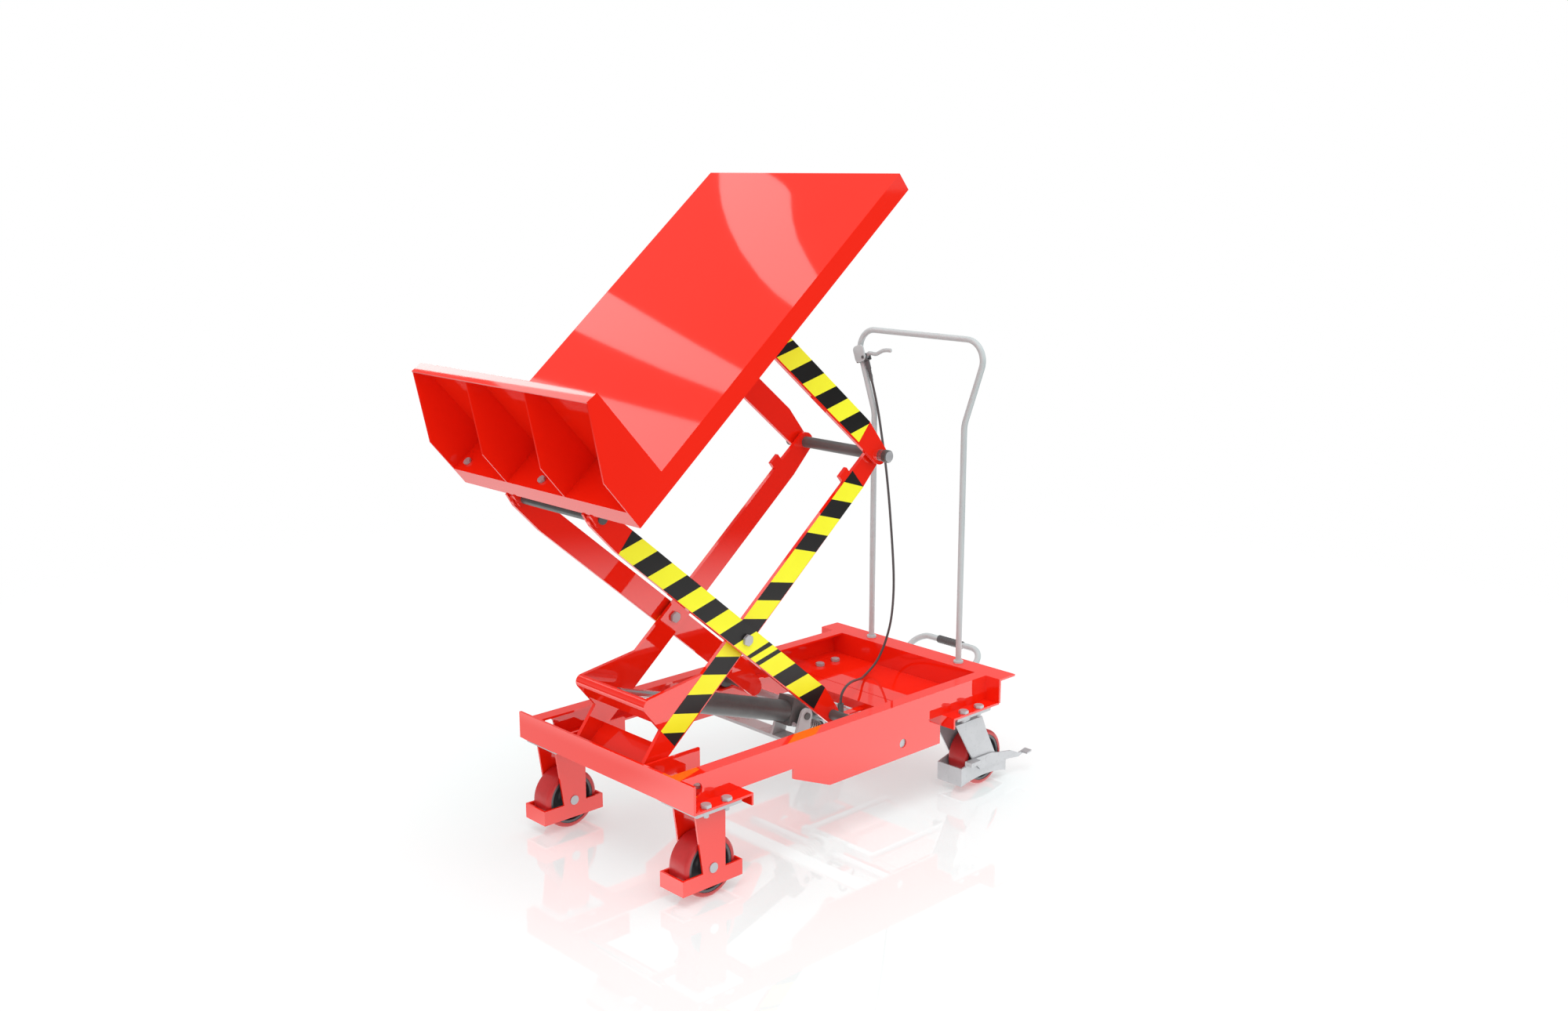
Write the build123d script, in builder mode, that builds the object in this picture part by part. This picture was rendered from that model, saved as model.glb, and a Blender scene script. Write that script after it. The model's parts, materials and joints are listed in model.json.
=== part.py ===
from build123d import *
import os
from math import atan2, cos, degrees, radians, sin, tan

# Scissor lift and tilt table on four casters, raised: +X runs to the push handle, +Z is up,
# and the origin is on the floor in the middle of the whole table. Side views use a local
# frame: x back from the front plate, z up from the top of the chassis frame.
# left is -Y and right is +Y, as seen by someone who pushes the table by its handle.

# ---- chassis frame ----
FRAME_TOP = 223.5            # top of the frame above the floor
FRAME_FRONT = -377.0         # front plate's face from the origin
FRAME_DEPTH = 50.0           # height of the side rails
FRONT_PLATE = 5.0            # thickness of the front plate
FRONT_HALF_WIDTH = 250.0
RAIL_END = 792.0             # rear end of the rails
RAIL_HALF_WIDTH = 214.0      # outer face of the rails' webs
RAIL_FLANGE = 28.0
RAIL_WALL = 4.0
SIGHT_HOLE = 26.0            # hole in the rail's web beside the lower pivot
SIGHT_HOLE_SET = 9.5         # how far it lies behind the pivot
REAR_PLATE = 5.0
REAR_HALF_WIDTH = 248.5
REAR_FLANGE = 49.0           # depth of the rear cross member's top flange
SHEET = 3.0                  # tray, mid plate, deck and ledge sheet
TRAY_FRONT = 645.0
MID_PLATE_FRONT = 595.0
SHEET_GAP = 2.0              # slit between mid plate and tray
MID_PLATE_LIP = 16.0
SKIRT_PLATE = 5.0
SKIRT_LOW = 107.0            # lower edge of the skirt plates below the frame top
SKIRT_SHALLOW = 70.0
SKIRT_X = (262.0, 353.0, 620.0, 656.0)
GUIDE_INNER = 104.0          # inner face of the pivot plates from the middle
GUIDE_PLATE = 5.0
GUIDE_LENGTH = 129.0
GUIDE_TOP = 6.0
GUIDE_BOTTOM = 47.0

# ---- casters ----
CASTER_Y = 198.0
FRONT_CASTER_X = 61.0        # middle of the front top plates
FRONT_AXLE_X = 60.0
SWIVEL_X = 722.0
TRAIL = 60.0
WHEEL_RADIUS = 56.0
WHEEL_WIDTH = 46.0
RIM_RADIUS = 47.0
RIM_LIP = 5.0
HUB_RADIUS = 17.0
WEB_WIDTH = 12.0
TYRE_BEVEL = 4.0
AXLE_D = 12.0
AXLE_HEAD_D = 18.0
AXLE_HEAD = 1.5
TAB_THICKNESS = 4.0
TAB_INNER = 152.0
TAB_OUTER = 245.0
TAB_LIP = 22.0
FRONT_TAB_END = 137.0
REAR_TAB_START = 660.0
TOP_PLATE = 6.0
TOP_PLATE_LENGTH = 100.0
TOP_PLATE_WIDTH = 92.0
BOLT_PITCH_X = 46.0
BOLT_PITCH_Y = 76.0
CASTER_BOLT_D = 10.0
CASTER_BOLT_AF = 17.0
CASTER_BOLT_HEAD = 6.4
CASTER_BOLT_END = 5.0        # bolt ends below the caster plates
FORK_PLATE = 4.0
FORK_SPAN = 60.4             # outer width of the fixed fork
FORK_TOP_X = (21.0, 88.0)
FORK_FOOT_X = (37.0, 87.0)
GUARD_X = (-7.5, 125.6)
GUARD_TOP = 172.6            # below the frame top, as all depths here
GUARD_BOTTOM = 200.8
SWIVEL_PLATE = 3.0
SWIVEL_SPAN = 62.0
RACE_RADIUS = 30.0
CROWN_DEPTH = 75.0
CROWN_X = (687.0, 766.0)
SWIVEL_FOOT = (-38.0, 30.0)   # ends of the swivel fork's cheeks, from the rear axle
SWIVEL_SHOULDER = -2.0
SWIVEL_LAP = 6.0              # how far the guard runs up the cheeks
REAR_GUARD_REACH = (-76.0, 63.0)
REAR_GUARD_FRONT = (-3.5, -40.5)
REAR_GUARD_REAR = (-18.5, -41.5)
REAR_GUARD_ARCH = (-5.0, -32.5)
BRAKE_PLATE = 3.0
BRAKE_GAP = 0.3
BRAKE_STEP_WIDTH = 14.0
BRAKE_PLATE_OUTLINE = [       # from the rear axle, as are the pad and the step
    (-66.0, 10.5),
    (11.0, 9.5),
    (38.0, 3.5),
    (74.0, -2.5),
    (102.0, -14.5),
    (125.0, -10.5),
    (125.0, -15.5),
    (100.0, -22.5),
    (70.0, -18.5),
    (18.0, -16.5),
    (-22.0, -16.5),
    (-37.0, -1.5),
    (-66.0, -1.5),
]
BRAKE_PAD_OUTLINE = [(-66.0, 10.5), (-37.0, 10.5), (-37.0, 2.5), (-66.0, 2.5)]
BRAKE_STEP_OUTLINE = [(110.0, -13.1), (125.0, -10.5), (125.0, -13.5), (110.0, -16.1)]

# ---- scissor ----
ARM_ANGLE = 40.0             # arms and deck above the horizontal
ARM_WIDTH = 46.0
ARM_THICKNESS = 8.0
INNER_ARM_Y = 89.0           # inner face of the inner arms
ARM_SPACE = 7.0              # between inner and outer arms
LOWER_PIVOT = (27.0, -26.0)
LOWER_REACH = 291.0          # centre bolt to lower pivot or roller, along the arm
LOWER_DROP = 9.0             # the same, below the arm's middle line
INNER_REACH = 448.0          # centre bolt to elbow
OUTER_REACH = 418.0          # centre bolt to the deck's front hinge
UPPER_RISE = 3.0             # elbow and hinge above the arm's middle line
ARM_END_TOP = 19.0           # end radii
ARM_END_LOW = 17.0
INNER_BODY = (-224.5, 383.5)
OUTER_BODY = (-238.0, 351.0)
UPPER_BODY = (66.8, 351.0)
UPPER_ARM_SHIFT = 9.4        # the upper arm's middle line above its pivots' datum
STOP_BLOCK = (356.0, 380.0)
STOP_HEIGHT = 16.5
NOSE = (-211.0, 76.0)        # crank nose in the inner arm's frame
NOSE_RADIUS = 13.0
CRANK_FOOT = -100.0
CHANNEL_WALL = 5.0
CHANNEL_LEG = 31.0
CHANNEL_OPENING = 60.0       # degrees of the nose left open beside the piston rod
TIE_PLATE = (-285.0, -235.0)
LOWER_SHAFT_D = 20.0
ELBOW_SHAFT_D = 16.0
ELBOW_SLEEVE_D = 22.0
ELBOW_COLLAR_D = 23.0
ELBOW_END = 135.0
CENTRE_BOLT_D = 12.0
CENTRE_BOLT_AF = 19.0
CENTRE_BOLT_HEAD = 6.0
SPACER_D = 26.0
ROLLER_AXLE_D = 20.0
ROLLER_LENGTH = 20.0
ROLLER_PLAY = 1.3            # rollers to the rails' flanges
ROLLER_END = 208.0
RUNNING_FIT = 0.05           # radial play of bores on their shafts
OPEN_PIVOT_FIT = 0.3         # radial play at the pivot that closes the linkage
SIDE_PLAY = 0.1

# ---- table ----
HINGE_IN_DECK = (-76.2, -57.0)   # front hinge in the deck's frame
DECK_FRONT = -86.3
DECK_REAR = 694.7
DECK_HALF_WIDTH = 246.0
DECK_SKIRT = 36.0
LEDGE_HEIGHT = 178.8
LEDGE_LEAN = 4.8
LEDGE_FLANGE = 23.0
LEDGE_FLANGE_RISE = 2.9
GUSSET_KNEE = (-86.7, 67.7)
MID_GUSSET_Y = 82.0
LUG_INNER = 95.0
LUG_OUTER = 115.0
LUG_THICKNESS = 6.0
LUG_RADIUS = 15.0
LUG_FOOT = 34.0
HINGE_SHAFT_D = 17.0
HINGE_SHAFT_END = 124.0
POCKET_BOLT_INSET = 24.0     # outer pocket bolts in from the deck's sides
POCKET_BOLT_X = -66.0
POCKET_BOLT_AF = 13.0
POCKET_BOLT_HEAD = 5.0

# ---- hydraulics ----
CYLINDER_PIVOT = (470.0, -52.0)
CYLINDER_PIN_D = 14.0
BARREL_D = 42.0
BARREL = (31.6, 309.3)       # along the cylinder from its pivot
GLAND_D = 46.0
GLAND_LENGTH = 14.0
ROD_D = 22.0
ROD_TAIL = 250.0
ROD_STROKE = 76.0
CRANK_PIN_D = 15.0
ROD_GAP = 0.3
PUMP_HALF = 21.0
BRACKET_INNER = 28.0
BRACKET_PLATE = 6.0
BRACKET_BAR = (436.0, 472.0)
BRACKET_BAR_DEPTH = 98.0
BRACKET_RADIUS = 15.0
PEDAL_PIVOT = (549.0, -79.0)
PEDAL_SHAFT_D = 18.0
PLUNGER_ANGLE = 25.0         # plunger axis below the horizontal
PLUNGER_OFFSET = 24.0        # plunger axis below the pedal pivot
PLUNGER_D = 12.0
PLUNGER_CAP_D = 24.0
PLUNGER_CAP = 4.0
PLUNGER_LENGTH = 74.0
PLUNGER_BORE = 84.0
PUMP_BOSS = (62.0, 92.0)
SPRING_WIRE = 2.5
SPRING_COILS = 8
PEDAL_ROLLER_D = 14.0

# ---- foot pedal ----
PEDAL_TUBE_D = 13.0
PEDAL_HALF_WIDTH = 92.0
PEDAL_BAR = (936.0, -10.0)
PEDAL_KNEE = (840.0, -80.0)
PEDAL_BEND = 35.0
PEDAL_YOKE = (585.0, 600.0)
PEDAL_YOKE_HEIGHT = 16.0
CHEEK_INNER = 22.5
CHEEK_PLATE = 4.5
GRIP_D = 17.0
GRIP_LENGTH = 67.0

# ---- push handle and release ----
HANDLE_X = 817.0
HANDLE_TUBE_D = 12.0
HANDLE_HALF_WIDTH = 121.5
HANDLE_STRAIGHT = 490.0
HANDLE_SPREAD = 58.8         # how far the loop's corners stand outside the posts
HANDLE_TOP = 660.0
HANDLE_LEAN_BEND = 60.0
HANDLE_CORNER_BEND = 40.0
COLLAR_D = 20.0
COLLAR_HEIGHT = 4.0
CLAMP_DROP = 68.0            # middle of the lever clamp below the top of the handle
CLAMP_LENGTH = 30.0
CLAMP_WIDTH = 22.0
LEVER_THICKNESS = 6.0
LEVER_PIN_D = 4.0
LEVER_HEIGHT = 7.0
LEVER_LINE = ((0.0, 0.0), (-18.0, 12.5), (-40.0, 12.5), (-54.0, 13.0), (-67.0, 18.5))
ADJUSTER_D = 8.0
ADJUSTER_LENGTH = 22.0
CABLE_D = 5.0
CABLE_STRAIGHT = 56.0        # the cable leaves its adjuster in line with it
FITTING = (537.0, -60.0)     # x and y of the cable's end fitting
FITTING_D = 12.0
FITTING_TOP = -36.0
FITTING_HEIGHT = 22.0
FITTING_BORE_D = 8.0
VALVE_STUD = (502.0, -52.0)
VALVE_STUD_D = 8.0
VALVE_LEVER_Y = -36.0
VALVE_LEVER_PLATE = 4.0
VALVE_LEVER_END = (537.0, -71.0)
VALVE_PIN_D = 6.0
CABLE_WIRE_D = 1.6

CABLE_ROUTE = [              # points chosen by hand, in the side views' frame
    (813.0, 97.0, 448.0),
    (812.0, 83.0, 385.0),
    (810.0, 71.0, 320.0),
    (808.0, 62.0, 260.0),
    (805.0, 53.0, 204.0),
    (801.0, 45.0, 150.0),
    (796.0, 41.0, 102.0),
    (790.0, 41.0, 58.0),
    (783.0, 46.0, 22.0),
    (772.0, 50.0, -8.0),
    (754.0, 51.0, -30.0),
    (728.0, 47.0, -41.0),
    (697.0, 32.0, -41.0),
    (667.0, 9.0, -32.0),
    (640.0, -9.0, -23.0),
    (612.0, -25.0, -15.0),
    (588.0, -39.0, -9.0),
    (568.0, -50.0, -6.0),
    (551.0, -57.0, -8.0),
    (537.0, -60.0, -20.0),
]

os.makedirs("parts", exist_ok=True)


def side_plane(y):
    """Side view at y: sketches read (x, z) and extrude towards -Y."""
    return Plane(origin=(FRAME_FRONT, y, FRAME_TOP), x_dir=(1, 0, 0), z_dir=(0, -1, 0))


def end_plane(x):
    """End view at x: sketches read (y, z) and extrude towards +X."""
    return Plane(origin=(FRAME_FRONT + x, 0, FRAME_TOP), x_dir=(0, 1, 0), z_dir=(1, 0, 0))


def level(z):
    """Plan view at height z above the frame top: sketches read (x, y), extrude up."""
    return Plane(origin=(FRAME_FRONT, 0, FRAME_TOP + z))


def arm_plane(point, angle, y, facing):
    """Side view turned along an arm; facing -1 extrudes towards -Y, facing 1 towards +Y."""
    direction = (cos(radians(angle)), 0, sin(radians(angle)))
    origin = (FRAME_FRONT + point[0], y, FRAME_TOP + point[1])
    return Plane(origin=origin, x_dir=direction, z_dir=(0, facing, 0))


def place(x, y, z):
    """World point of a point given in the side views' frame."""
    return Vector(FRAME_FRONT + x, y, FRAME_TOP + z)


def step_from(point, angle, ahead, left):
    """Point in the side view that lies ahead and to the left of a direction."""
    c, s = cos(radians(angle)), sin(radians(angle))
    return (point[0] + ahead * c - left * s, point[1] + ahead * s + left * c)


def outline(*points, mode=Mode.ADD):
    """Face inside straight lines, in the sketch being built."""
    with BuildLine() as border:
        Polyline(*points, close=True)
    make_face(border.edges(), mode=mode)


def bored(diameter, play=RUNNING_FIT):
    """Radius of a bore that runs on a shaft of this diameter."""
    return diameter / 2 + play


def hexagon(across_flats):
    """Hexagon of this size across its flats, in the sketch being built."""
    return RegularPolygon(across_flats / 2, 6, major_radius=False)


# Pivots of the linkage in the side view, all from the lower pivot and the arms' own sizes.
OUTER_ANGLE = 180.0 - ARM_ANGLE
CENTRE = step_from(LOWER_PIVOT, ARM_ANGLE, LOWER_REACH, LOWER_DROP)
ROLLER = step_from(CENTRE, OUTER_ANGLE, -LOWER_REACH, LOWER_DROP)
ELBOW = step_from(CENTRE, ARM_ANGLE, INNER_REACH, UPPER_RISE)
FRONT_HINGE = step_from(CENTRE, OUTER_ANGLE, OUTER_REACH, -UPPER_RISE)
REAR_HINGE = step_from(FRONT_HINGE, ARM_ANGLE, INNER_REACH, UPPER_RISE)
DECK = step_from(FRONT_HINGE, ARM_ANGLE, -HINGE_IN_DECK[0], -HINGE_IN_DECK[1])
NOSE_POINT = step_from(CENTRE, ARM_ANGLE, *NOSE)
OUTER_ARM_Y = INNER_ARM_Y + ARM_THICKNESS + ARM_SPACE
OUTER_ARM_FACE = OUTER_ARM_Y + ARM_THICKNESS
INNER_ARM_FACE = INNER_ARM_Y + ARM_THICKNESS
REAR_AXLE_X = SWIVEL_X + TRAIL
AXLE_DEPTH = WHEEL_RADIUS - FRAME_TOP

# ================= chassis =================

with BuildPart() as front_crossbar:
    with BuildSketch(end_plane(0)):
        with Locations((0, -FRAME_DEPTH / 2)):
            Rectangle(2 * FRONT_HALF_WIDTH, FRAME_DEPTH)
    extrude(amount=FRONT_PLATE)
front_crossbar.part.label = "front_crossbar"
export_step(front_crossbar.part, "parts/front_crossbar.step")

with BuildPart() as side_rails:
    with BuildSketch(end_plane(FRONT_PLATE)):
        with Locations((RAIL_HALF_WIDTH - RAIL_FLANGE / 2, -FRAME_DEPTH / 2)):
            Rectangle(RAIL_FLANGE, FRAME_DEPTH)
        with Locations((RAIL_HALF_WIDTH - RAIL_WALL - RAIL_FLANGE / 2, -FRAME_DEPTH / 2)):
            Rectangle(RAIL_FLANGE, FRAME_DEPTH - 2 * RAIL_WALL, mode=Mode.SUBTRACT)
    extrude(amount=RAIL_END - FRONT_PLATE)
    with BuildSketch(side_plane(RAIL_HALF_WIDTH)):
        with Locations((LOWER_PIVOT[0] + SIGHT_HOLE_SET, LOWER_PIVOT[1])):
            Circle(SIGHT_HOLE / 2)
    extrude(amount=RAIL_WALL, mode=Mode.SUBTRACT)
    mirror(about=Plane.XZ)
side_rails.part.label = "side_rails"
export_step(side_rails.part, "parts/side_rails.step")

with BuildPart() as rear_crossmember:
    with BuildSketch(side_plane(REAR_HALF_WIDTH)):
        outline(
            (RAIL_END, 0),
            (RAIL_END, -FRAME_DEPTH),
            (RAIL_END + REAR_PLATE, -FRAME_DEPTH),
            (RAIL_END + REAR_PLATE, -RAIL_WALL),
            (RAIL_END + REAR_FLANGE, -RAIL_WALL),
            (RAIL_END + REAR_FLANGE, 0),
        )
    extrude(amount=2 * REAR_HALF_WIDTH)
rear_crossmember.part.label = "rear_crossmember"
export_step(rear_crossmember.part, "parts/rear_crossmember.step")

with BuildPart() as pivot_plates:
    with BuildSketch(side_plane(GUIDE_INNER + GUIDE_PLATE)):
        outline(
            (FRONT_PLATE, -GUIDE_TOP),
            (FRONT_PLATE, -GUIDE_BOTTOM),
            (FRONT_PLATE + GUIDE_LENGTH, -GUIDE_BOTTOM),
            (FRONT_PLATE + GUIDE_LENGTH, -GUIDE_TOP),
        )
        with Locations(LOWER_PIVOT):
            Circle(bored(LOWER_SHAFT_D), mode=Mode.SUBTRACT)
    extrude(amount=GUIDE_PLATE)
    mirror(about=Plane.XZ)
pivot_plates.part.label = "pivot_plates"
export_step(pivot_plates.part, "parts/pivot_plates.step")

with BuildPart() as lower_pivot_shaft:
    with BuildSketch(side_plane(GUIDE_INNER + 2 * GUIDE_PLATE)):
        with Locations(LOWER_PIVOT):
            Circle(LOWER_SHAFT_D / 2)
    extrude(amount=2 * (GUIDE_INNER + 2 * GUIDE_PLATE))
lower_pivot_shaft.part.label = "lower_pivot_shaft"
export_step(lower_pivot_shaft.part, "parts/lower_pivot_shaft.step")

with BuildPart() as side_plates:
    with BuildSketch(side_plane(RAIL_HALF_WIDTH)):
        outline(
            (SKIRT_X[0], -FRAME_DEPTH),
            (SKIRT_X[0], -SKIRT_SHALLOW),
            (SKIRT_X[1], -SKIRT_LOW),
            (SKIRT_X[3], -SKIRT_LOW),
            (SKIRT_X[3], -SKIRT_SHALLOW),
            (SKIRT_X[2], -FRAME_DEPTH),
        )
        with Locations(PEDAL_PIVOT):
            Circle(bored(PEDAL_SHAFT_D), mode=Mode.SUBTRACT)
    extrude(amount=SKIRT_PLATE)
    mirror(about=Plane.XZ)
side_plates.part.label = "side_plates"
export_step(side_plates.part, "parts/side_plates.step")

with BuildPart() as pedal_shaft:
    with BuildSketch(side_plane(RAIL_HALF_WIDTH - SKIRT_PLATE / 2)):
        with Locations(PEDAL_PIVOT):
            Circle(PEDAL_SHAFT_D / 2)
    extrude(amount=2 * RAIL_HALF_WIDTH - SKIRT_PLATE)
pedal_shaft.part.label = "pedal_shaft"
export_step(pedal_shaft.part, "parts/pedal_shaft.step")

CASTER_CENTRES = [(x, side * CASTER_Y) for x in (FRONT_CASTER_X, SWIVEL_X) for side in (-1, 1)]
TAB_MIDDLE = (TAB_INNER + TAB_OUTER) / 2
REAR_TAB_END = RAIL_END + REAR_PLATE

with BuildPart() as caster_tabs:
    for start, end, lip in (
        (FRONT_PLATE, FRONT_TAB_END, FRONT_TAB_END - TAB_THICKNESS / 2),
        (REAR_TAB_START, REAR_TAB_END, REAR_TAB_START + TAB_THICKNESS / 2),
    ):
        with BuildSketch(level(-FRAME_DEPTH)):
            with Locations(((start + end) / 2, TAB_MIDDLE)):
                Rectangle(end - start, TAB_OUTER - TAB_INNER)
        extrude(amount=-TAB_THICKNESS)
        with BuildSketch(level(-FRAME_DEPTH)):
            with Locations((lip, TAB_MIDDLE)):
                Rectangle(TAB_THICKNESS, TAB_OUTER - TAB_INNER)
        extrude(amount=-TAB_LIP)
    for x in (FRONT_CASTER_X, SWIVEL_X):
        with BuildSketch(level(-FRAME_DEPTH)):
            with Locations((x, CASTER_Y)):
                with GridLocations(BOLT_PITCH_X, BOLT_PITCH_Y, 2, 2):
                    Circle(bored(CASTER_BOLT_D))
        extrude(amount=-TAB_THICKNESS, mode=Mode.SUBTRACT)
    mirror(about=Plane.XZ)
caster_tabs.part.label = "caster_tabs"
export_step(caster_tabs.part, "parts/caster_tabs.step")

PLATE_TOP = -FRAME_DEPTH - TAB_THICKNESS
PLATE_BOTTOM = PLATE_TOP - TOP_PLATE

with BuildPart() as caster_plates:
    with BuildSketch(level(PLATE_TOP)):
        with Locations(*CASTER_CENTRES):
            Rectangle(TOP_PLATE_LENGTH, TOP_PLATE_WIDTH)
            with GridLocations(BOLT_PITCH_X, BOLT_PITCH_Y, 2, 2):
                Circle(bored(CASTER_BOLT_D), mode=Mode.SUBTRACT)
    extrude(amount=-TOP_PLATE)
caster_plates.part.label = "caster_plates"
export_step(caster_plates.part, "parts/caster_plates.step")

with BuildPart() as caster_bolts:
    for x, y in CASTER_CENTRES:
        for dx in (-BOLT_PITCH_X / 2, BOLT_PITCH_X / 2):
            for dy in (-BOLT_PITCH_Y / 2, BOLT_PITCH_Y / 2):
                on_tray = x == SWIVEL_X and dy * y < 0
                seat = -FRAME_DEPTH + (SHEET if on_tray else 0)
                with BuildSketch(level(seat)):
                    with Locations((x + dx, y + dy)):
                        hexagon(CASTER_BOLT_AF)
                extrude(amount=CASTER_BOLT_HEAD)
                with BuildSketch(level(seat)):
                    with Locations((x + dx, y + dy)):
                        Circle(CASTER_BOLT_D / 2)
                extrude(amount=PLATE_BOTTOM - CASTER_BOLT_END - seat)
caster_bolts.part.label = "caster_bolts"
export_step(caster_bolts.part, "parts/caster_bolts.step")

RAIL_GAP = RAIL_HALF_WIDTH - RAIL_FLANGE
TRAY_BOLT_Y = CASTER_Y - BOLT_PITCH_Y / 2

with BuildPart() as rear_tray:
    with BuildSketch(level(-FRAME_DEPTH)):
        with Locations(((TRAY_FRONT + RAIL_END) / 2, 0)):
            Rectangle(RAIL_END - TRAY_FRONT, 2 * RAIL_GAP)
        with Locations((SWIVEL_X, 0)):
            with GridLocations(BOLT_PITCH_X, 2 * TRAY_BOLT_Y, 2, 2):
                Circle(bored(CASTER_BOLT_D), mode=Mode.SUBTRACT)
    extrude(amount=SHEET)
rear_tray.part.label = "rear_tray"
export_step(rear_tray.part, "parts/rear_tray.step")

with BuildPart() as mid_plate:
    with BuildSketch(side_plane(RAIL_GAP)):
        outline(
            (MID_PLATE_FRONT, SHEET - FRAME_DEPTH),
            (TRAY_FRONT - SHEET_GAP, SHEET - FRAME_DEPTH),
            (TRAY_FRONT - SHEET_GAP, -FRAME_DEPTH),
            (MID_PLATE_FRONT + SHEET, -FRAME_DEPTH),
            (MID_PLATE_FRONT + SHEET, -FRAME_DEPTH - MID_PLATE_LIP),
            (MID_PLATE_FRONT, -FRAME_DEPTH - MID_PLATE_LIP),
        )
    extrude(amount=2 * RAIL_GAP)
mid_plate.part.label = "mid_plate"
export_step(mid_plate.part, "parts/mid_plate.step")

# Fixed forks: a bent strap over the wheel, welded to the ring that guards the feet.
with BuildPart() as fixed_forks:
    with BuildSketch(side_plane(CASTER_Y + FORK_SPAN / 2)):
        outline(
            (FORK_TOP_X[0], PLATE_BOTTOM),
            (FORK_FOOT_X[0], -GUARD_TOP),
            (FORK_FOOT_X[1], -GUARD_TOP),
            (FORK_TOP_X[1], PLATE_BOTTOM),
        )
    extrude(amount=FORK_SPAN)
    with BuildSketch(side_plane(CASTER_Y + FORK_SPAN / 2 - FORK_PLATE)):
        with Locations((FRONT_AXLE_X, PLATE_BOTTOM - FORK_PLATE - GUARD_TOP)):
            Rectangle(2 * TOP_PLATE_LENGTH, 2 * GUARD_TOP)
    extrude(amount=FORK_SPAN - 2 * FORK_PLATE, mode=Mode.SUBTRACT)
    with BuildSketch(level(-GUARD_BOTTOM)):
        with Locations((sum(GUARD_X) / 2, CASTER_Y)):
            Rectangle(GUARD_X[1] - GUARD_X[0], FORK_SPAN)
            Rectangle(
                GUARD_X[1] - GUARD_X[0] - 2 * FORK_PLATE,
                FORK_SPAN - 2 * FORK_PLATE,
                mode=Mode.SUBTRACT,
            )
    extrude(amount=GUARD_BOTTOM - GUARD_TOP)
    with BuildSketch(side_plane(CASTER_Y + FORK_SPAN)):
        with Locations((FRONT_AXLE_X, AXLE_DEPTH)):
            Circle(bored(AXLE_D))
    extrude(amount=2 * FORK_SPAN, mode=Mode.SUBTRACT)
    mirror(about=Plane.XZ)
fixed_forks.part.label = "fixed_forks"
export_step(fixed_forks.part, "parts/fixed_forks.step")

with BuildPart() as front_axles:
    with BuildSketch(side_plane(CASTER_Y + FORK_SPAN / 2)):
        with Locations((FRONT_AXLE_X, AXLE_DEPTH)):
            Circle(AXLE_D / 2)
    extrude(amount=FORK_SPAN)
    for face, outward in ((CASTER_Y + FORK_SPAN / 2, -1), (CASTER_Y - FORK_SPAN / 2, 1)):
        with BuildSketch(side_plane(face)):
            with Locations((FRONT_AXLE_X, AXLE_DEPTH)):
                Circle(AXLE_HEAD_D / 2)
        extrude(amount=outward * AXLE_HEAD)
    mirror(about=Plane.XZ)
front_axles.part.label = "front_axles"
export_step(front_axles.part, "parts/front_axles.step")

# Push handle: two posts that lean outwards under a wide loop.
LEAN = HANDLE_SPREAD / (HANDLE_TOP - HANDLE_STRAIGHT)
handle_corners = [
    place(HANDLE_X, -HANDLE_HALF_WIDTH, 0),
    place(HANDLE_X, -HANDLE_HALF_WIDTH, HANDLE_STRAIGHT),
    place(HANDLE_X, -HANDLE_HALF_WIDTH - HANDLE_SPREAD, HANDLE_TOP),
    place(HANDLE_X, HANDLE_HALF_WIDTH + HANDLE_SPREAD, HANDLE_TOP),
    place(HANDLE_X, HANDLE_HALF_WIDTH, HANDLE_STRAIGHT),
    place(HANDLE_X, HANDLE_HALF_WIDTH, 0),
]
handle_bends = [HANDLE_LEAN_BEND, HANDLE_CORNER_BEND, HANDLE_CORNER_BEND, HANDLE_LEAN_BEND]

with BuildPart() as handle:
    with BuildLine() as handle_path:
        FilletPolyline(*handle_corners, radius=handle_bends)
    with BuildSketch(level(0)):
        with Locations((HANDLE_X, -HANDLE_HALF_WIDTH)):
            Circle(HANDLE_TUBE_D / 2)
    sweep(path=handle_path.wire())
    with BuildSketch(level(0)):
        with Locations((HANDLE_X, -HANDLE_HALF_WIDTH), (HANDLE_X, HANDLE_HALF_WIDTH)):
            Circle(COLLAR_D / 2)
    extrude(amount=COLLAR_HEIGHT)
handle.part.label = "handle"
export_step(handle.part, "parts/handle.step")

# The lever clamp grips the leaning part of the right post; its frame reads
# (inward, along the tube) from the middle of the tube.
CLAMP_HEIGHT = HANDLE_TOP - CLAMP_DROP
clamp_y = HANDLE_HALF_WIDTH + LEAN * (CLAMP_HEIGHT - HANDLE_STRAIGHT)
tube_run = Vector(0, LEAN, 1).normalized()
tube_inward = Vector(0, -tube_run.Z, tube_run.Y)
CLAMP_REACH = (-10.0, 20.0)
LEVER_HUB = (13.0, 7.0)
LEVER_HUB_RADIUS = 4.6
SLOT_START = 7.5


def clamp_plane(x_offset):
    """Frame of the lever clamp; sketches extrude towards -X."""
    origin = place(HANDLE_X + x_offset, clamp_y, CLAMP_HEIGHT)
    return Plane(origin=origin, x_dir=tube_inward, z_dir=(-1, 0, 0))


def on_clamp(inward, along):
    """World point of a point in the clamp's frame."""
    return place(HANDLE_X, clamp_y, CLAMP_HEIGHT) + tube_inward * inward + tube_run * along


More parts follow.
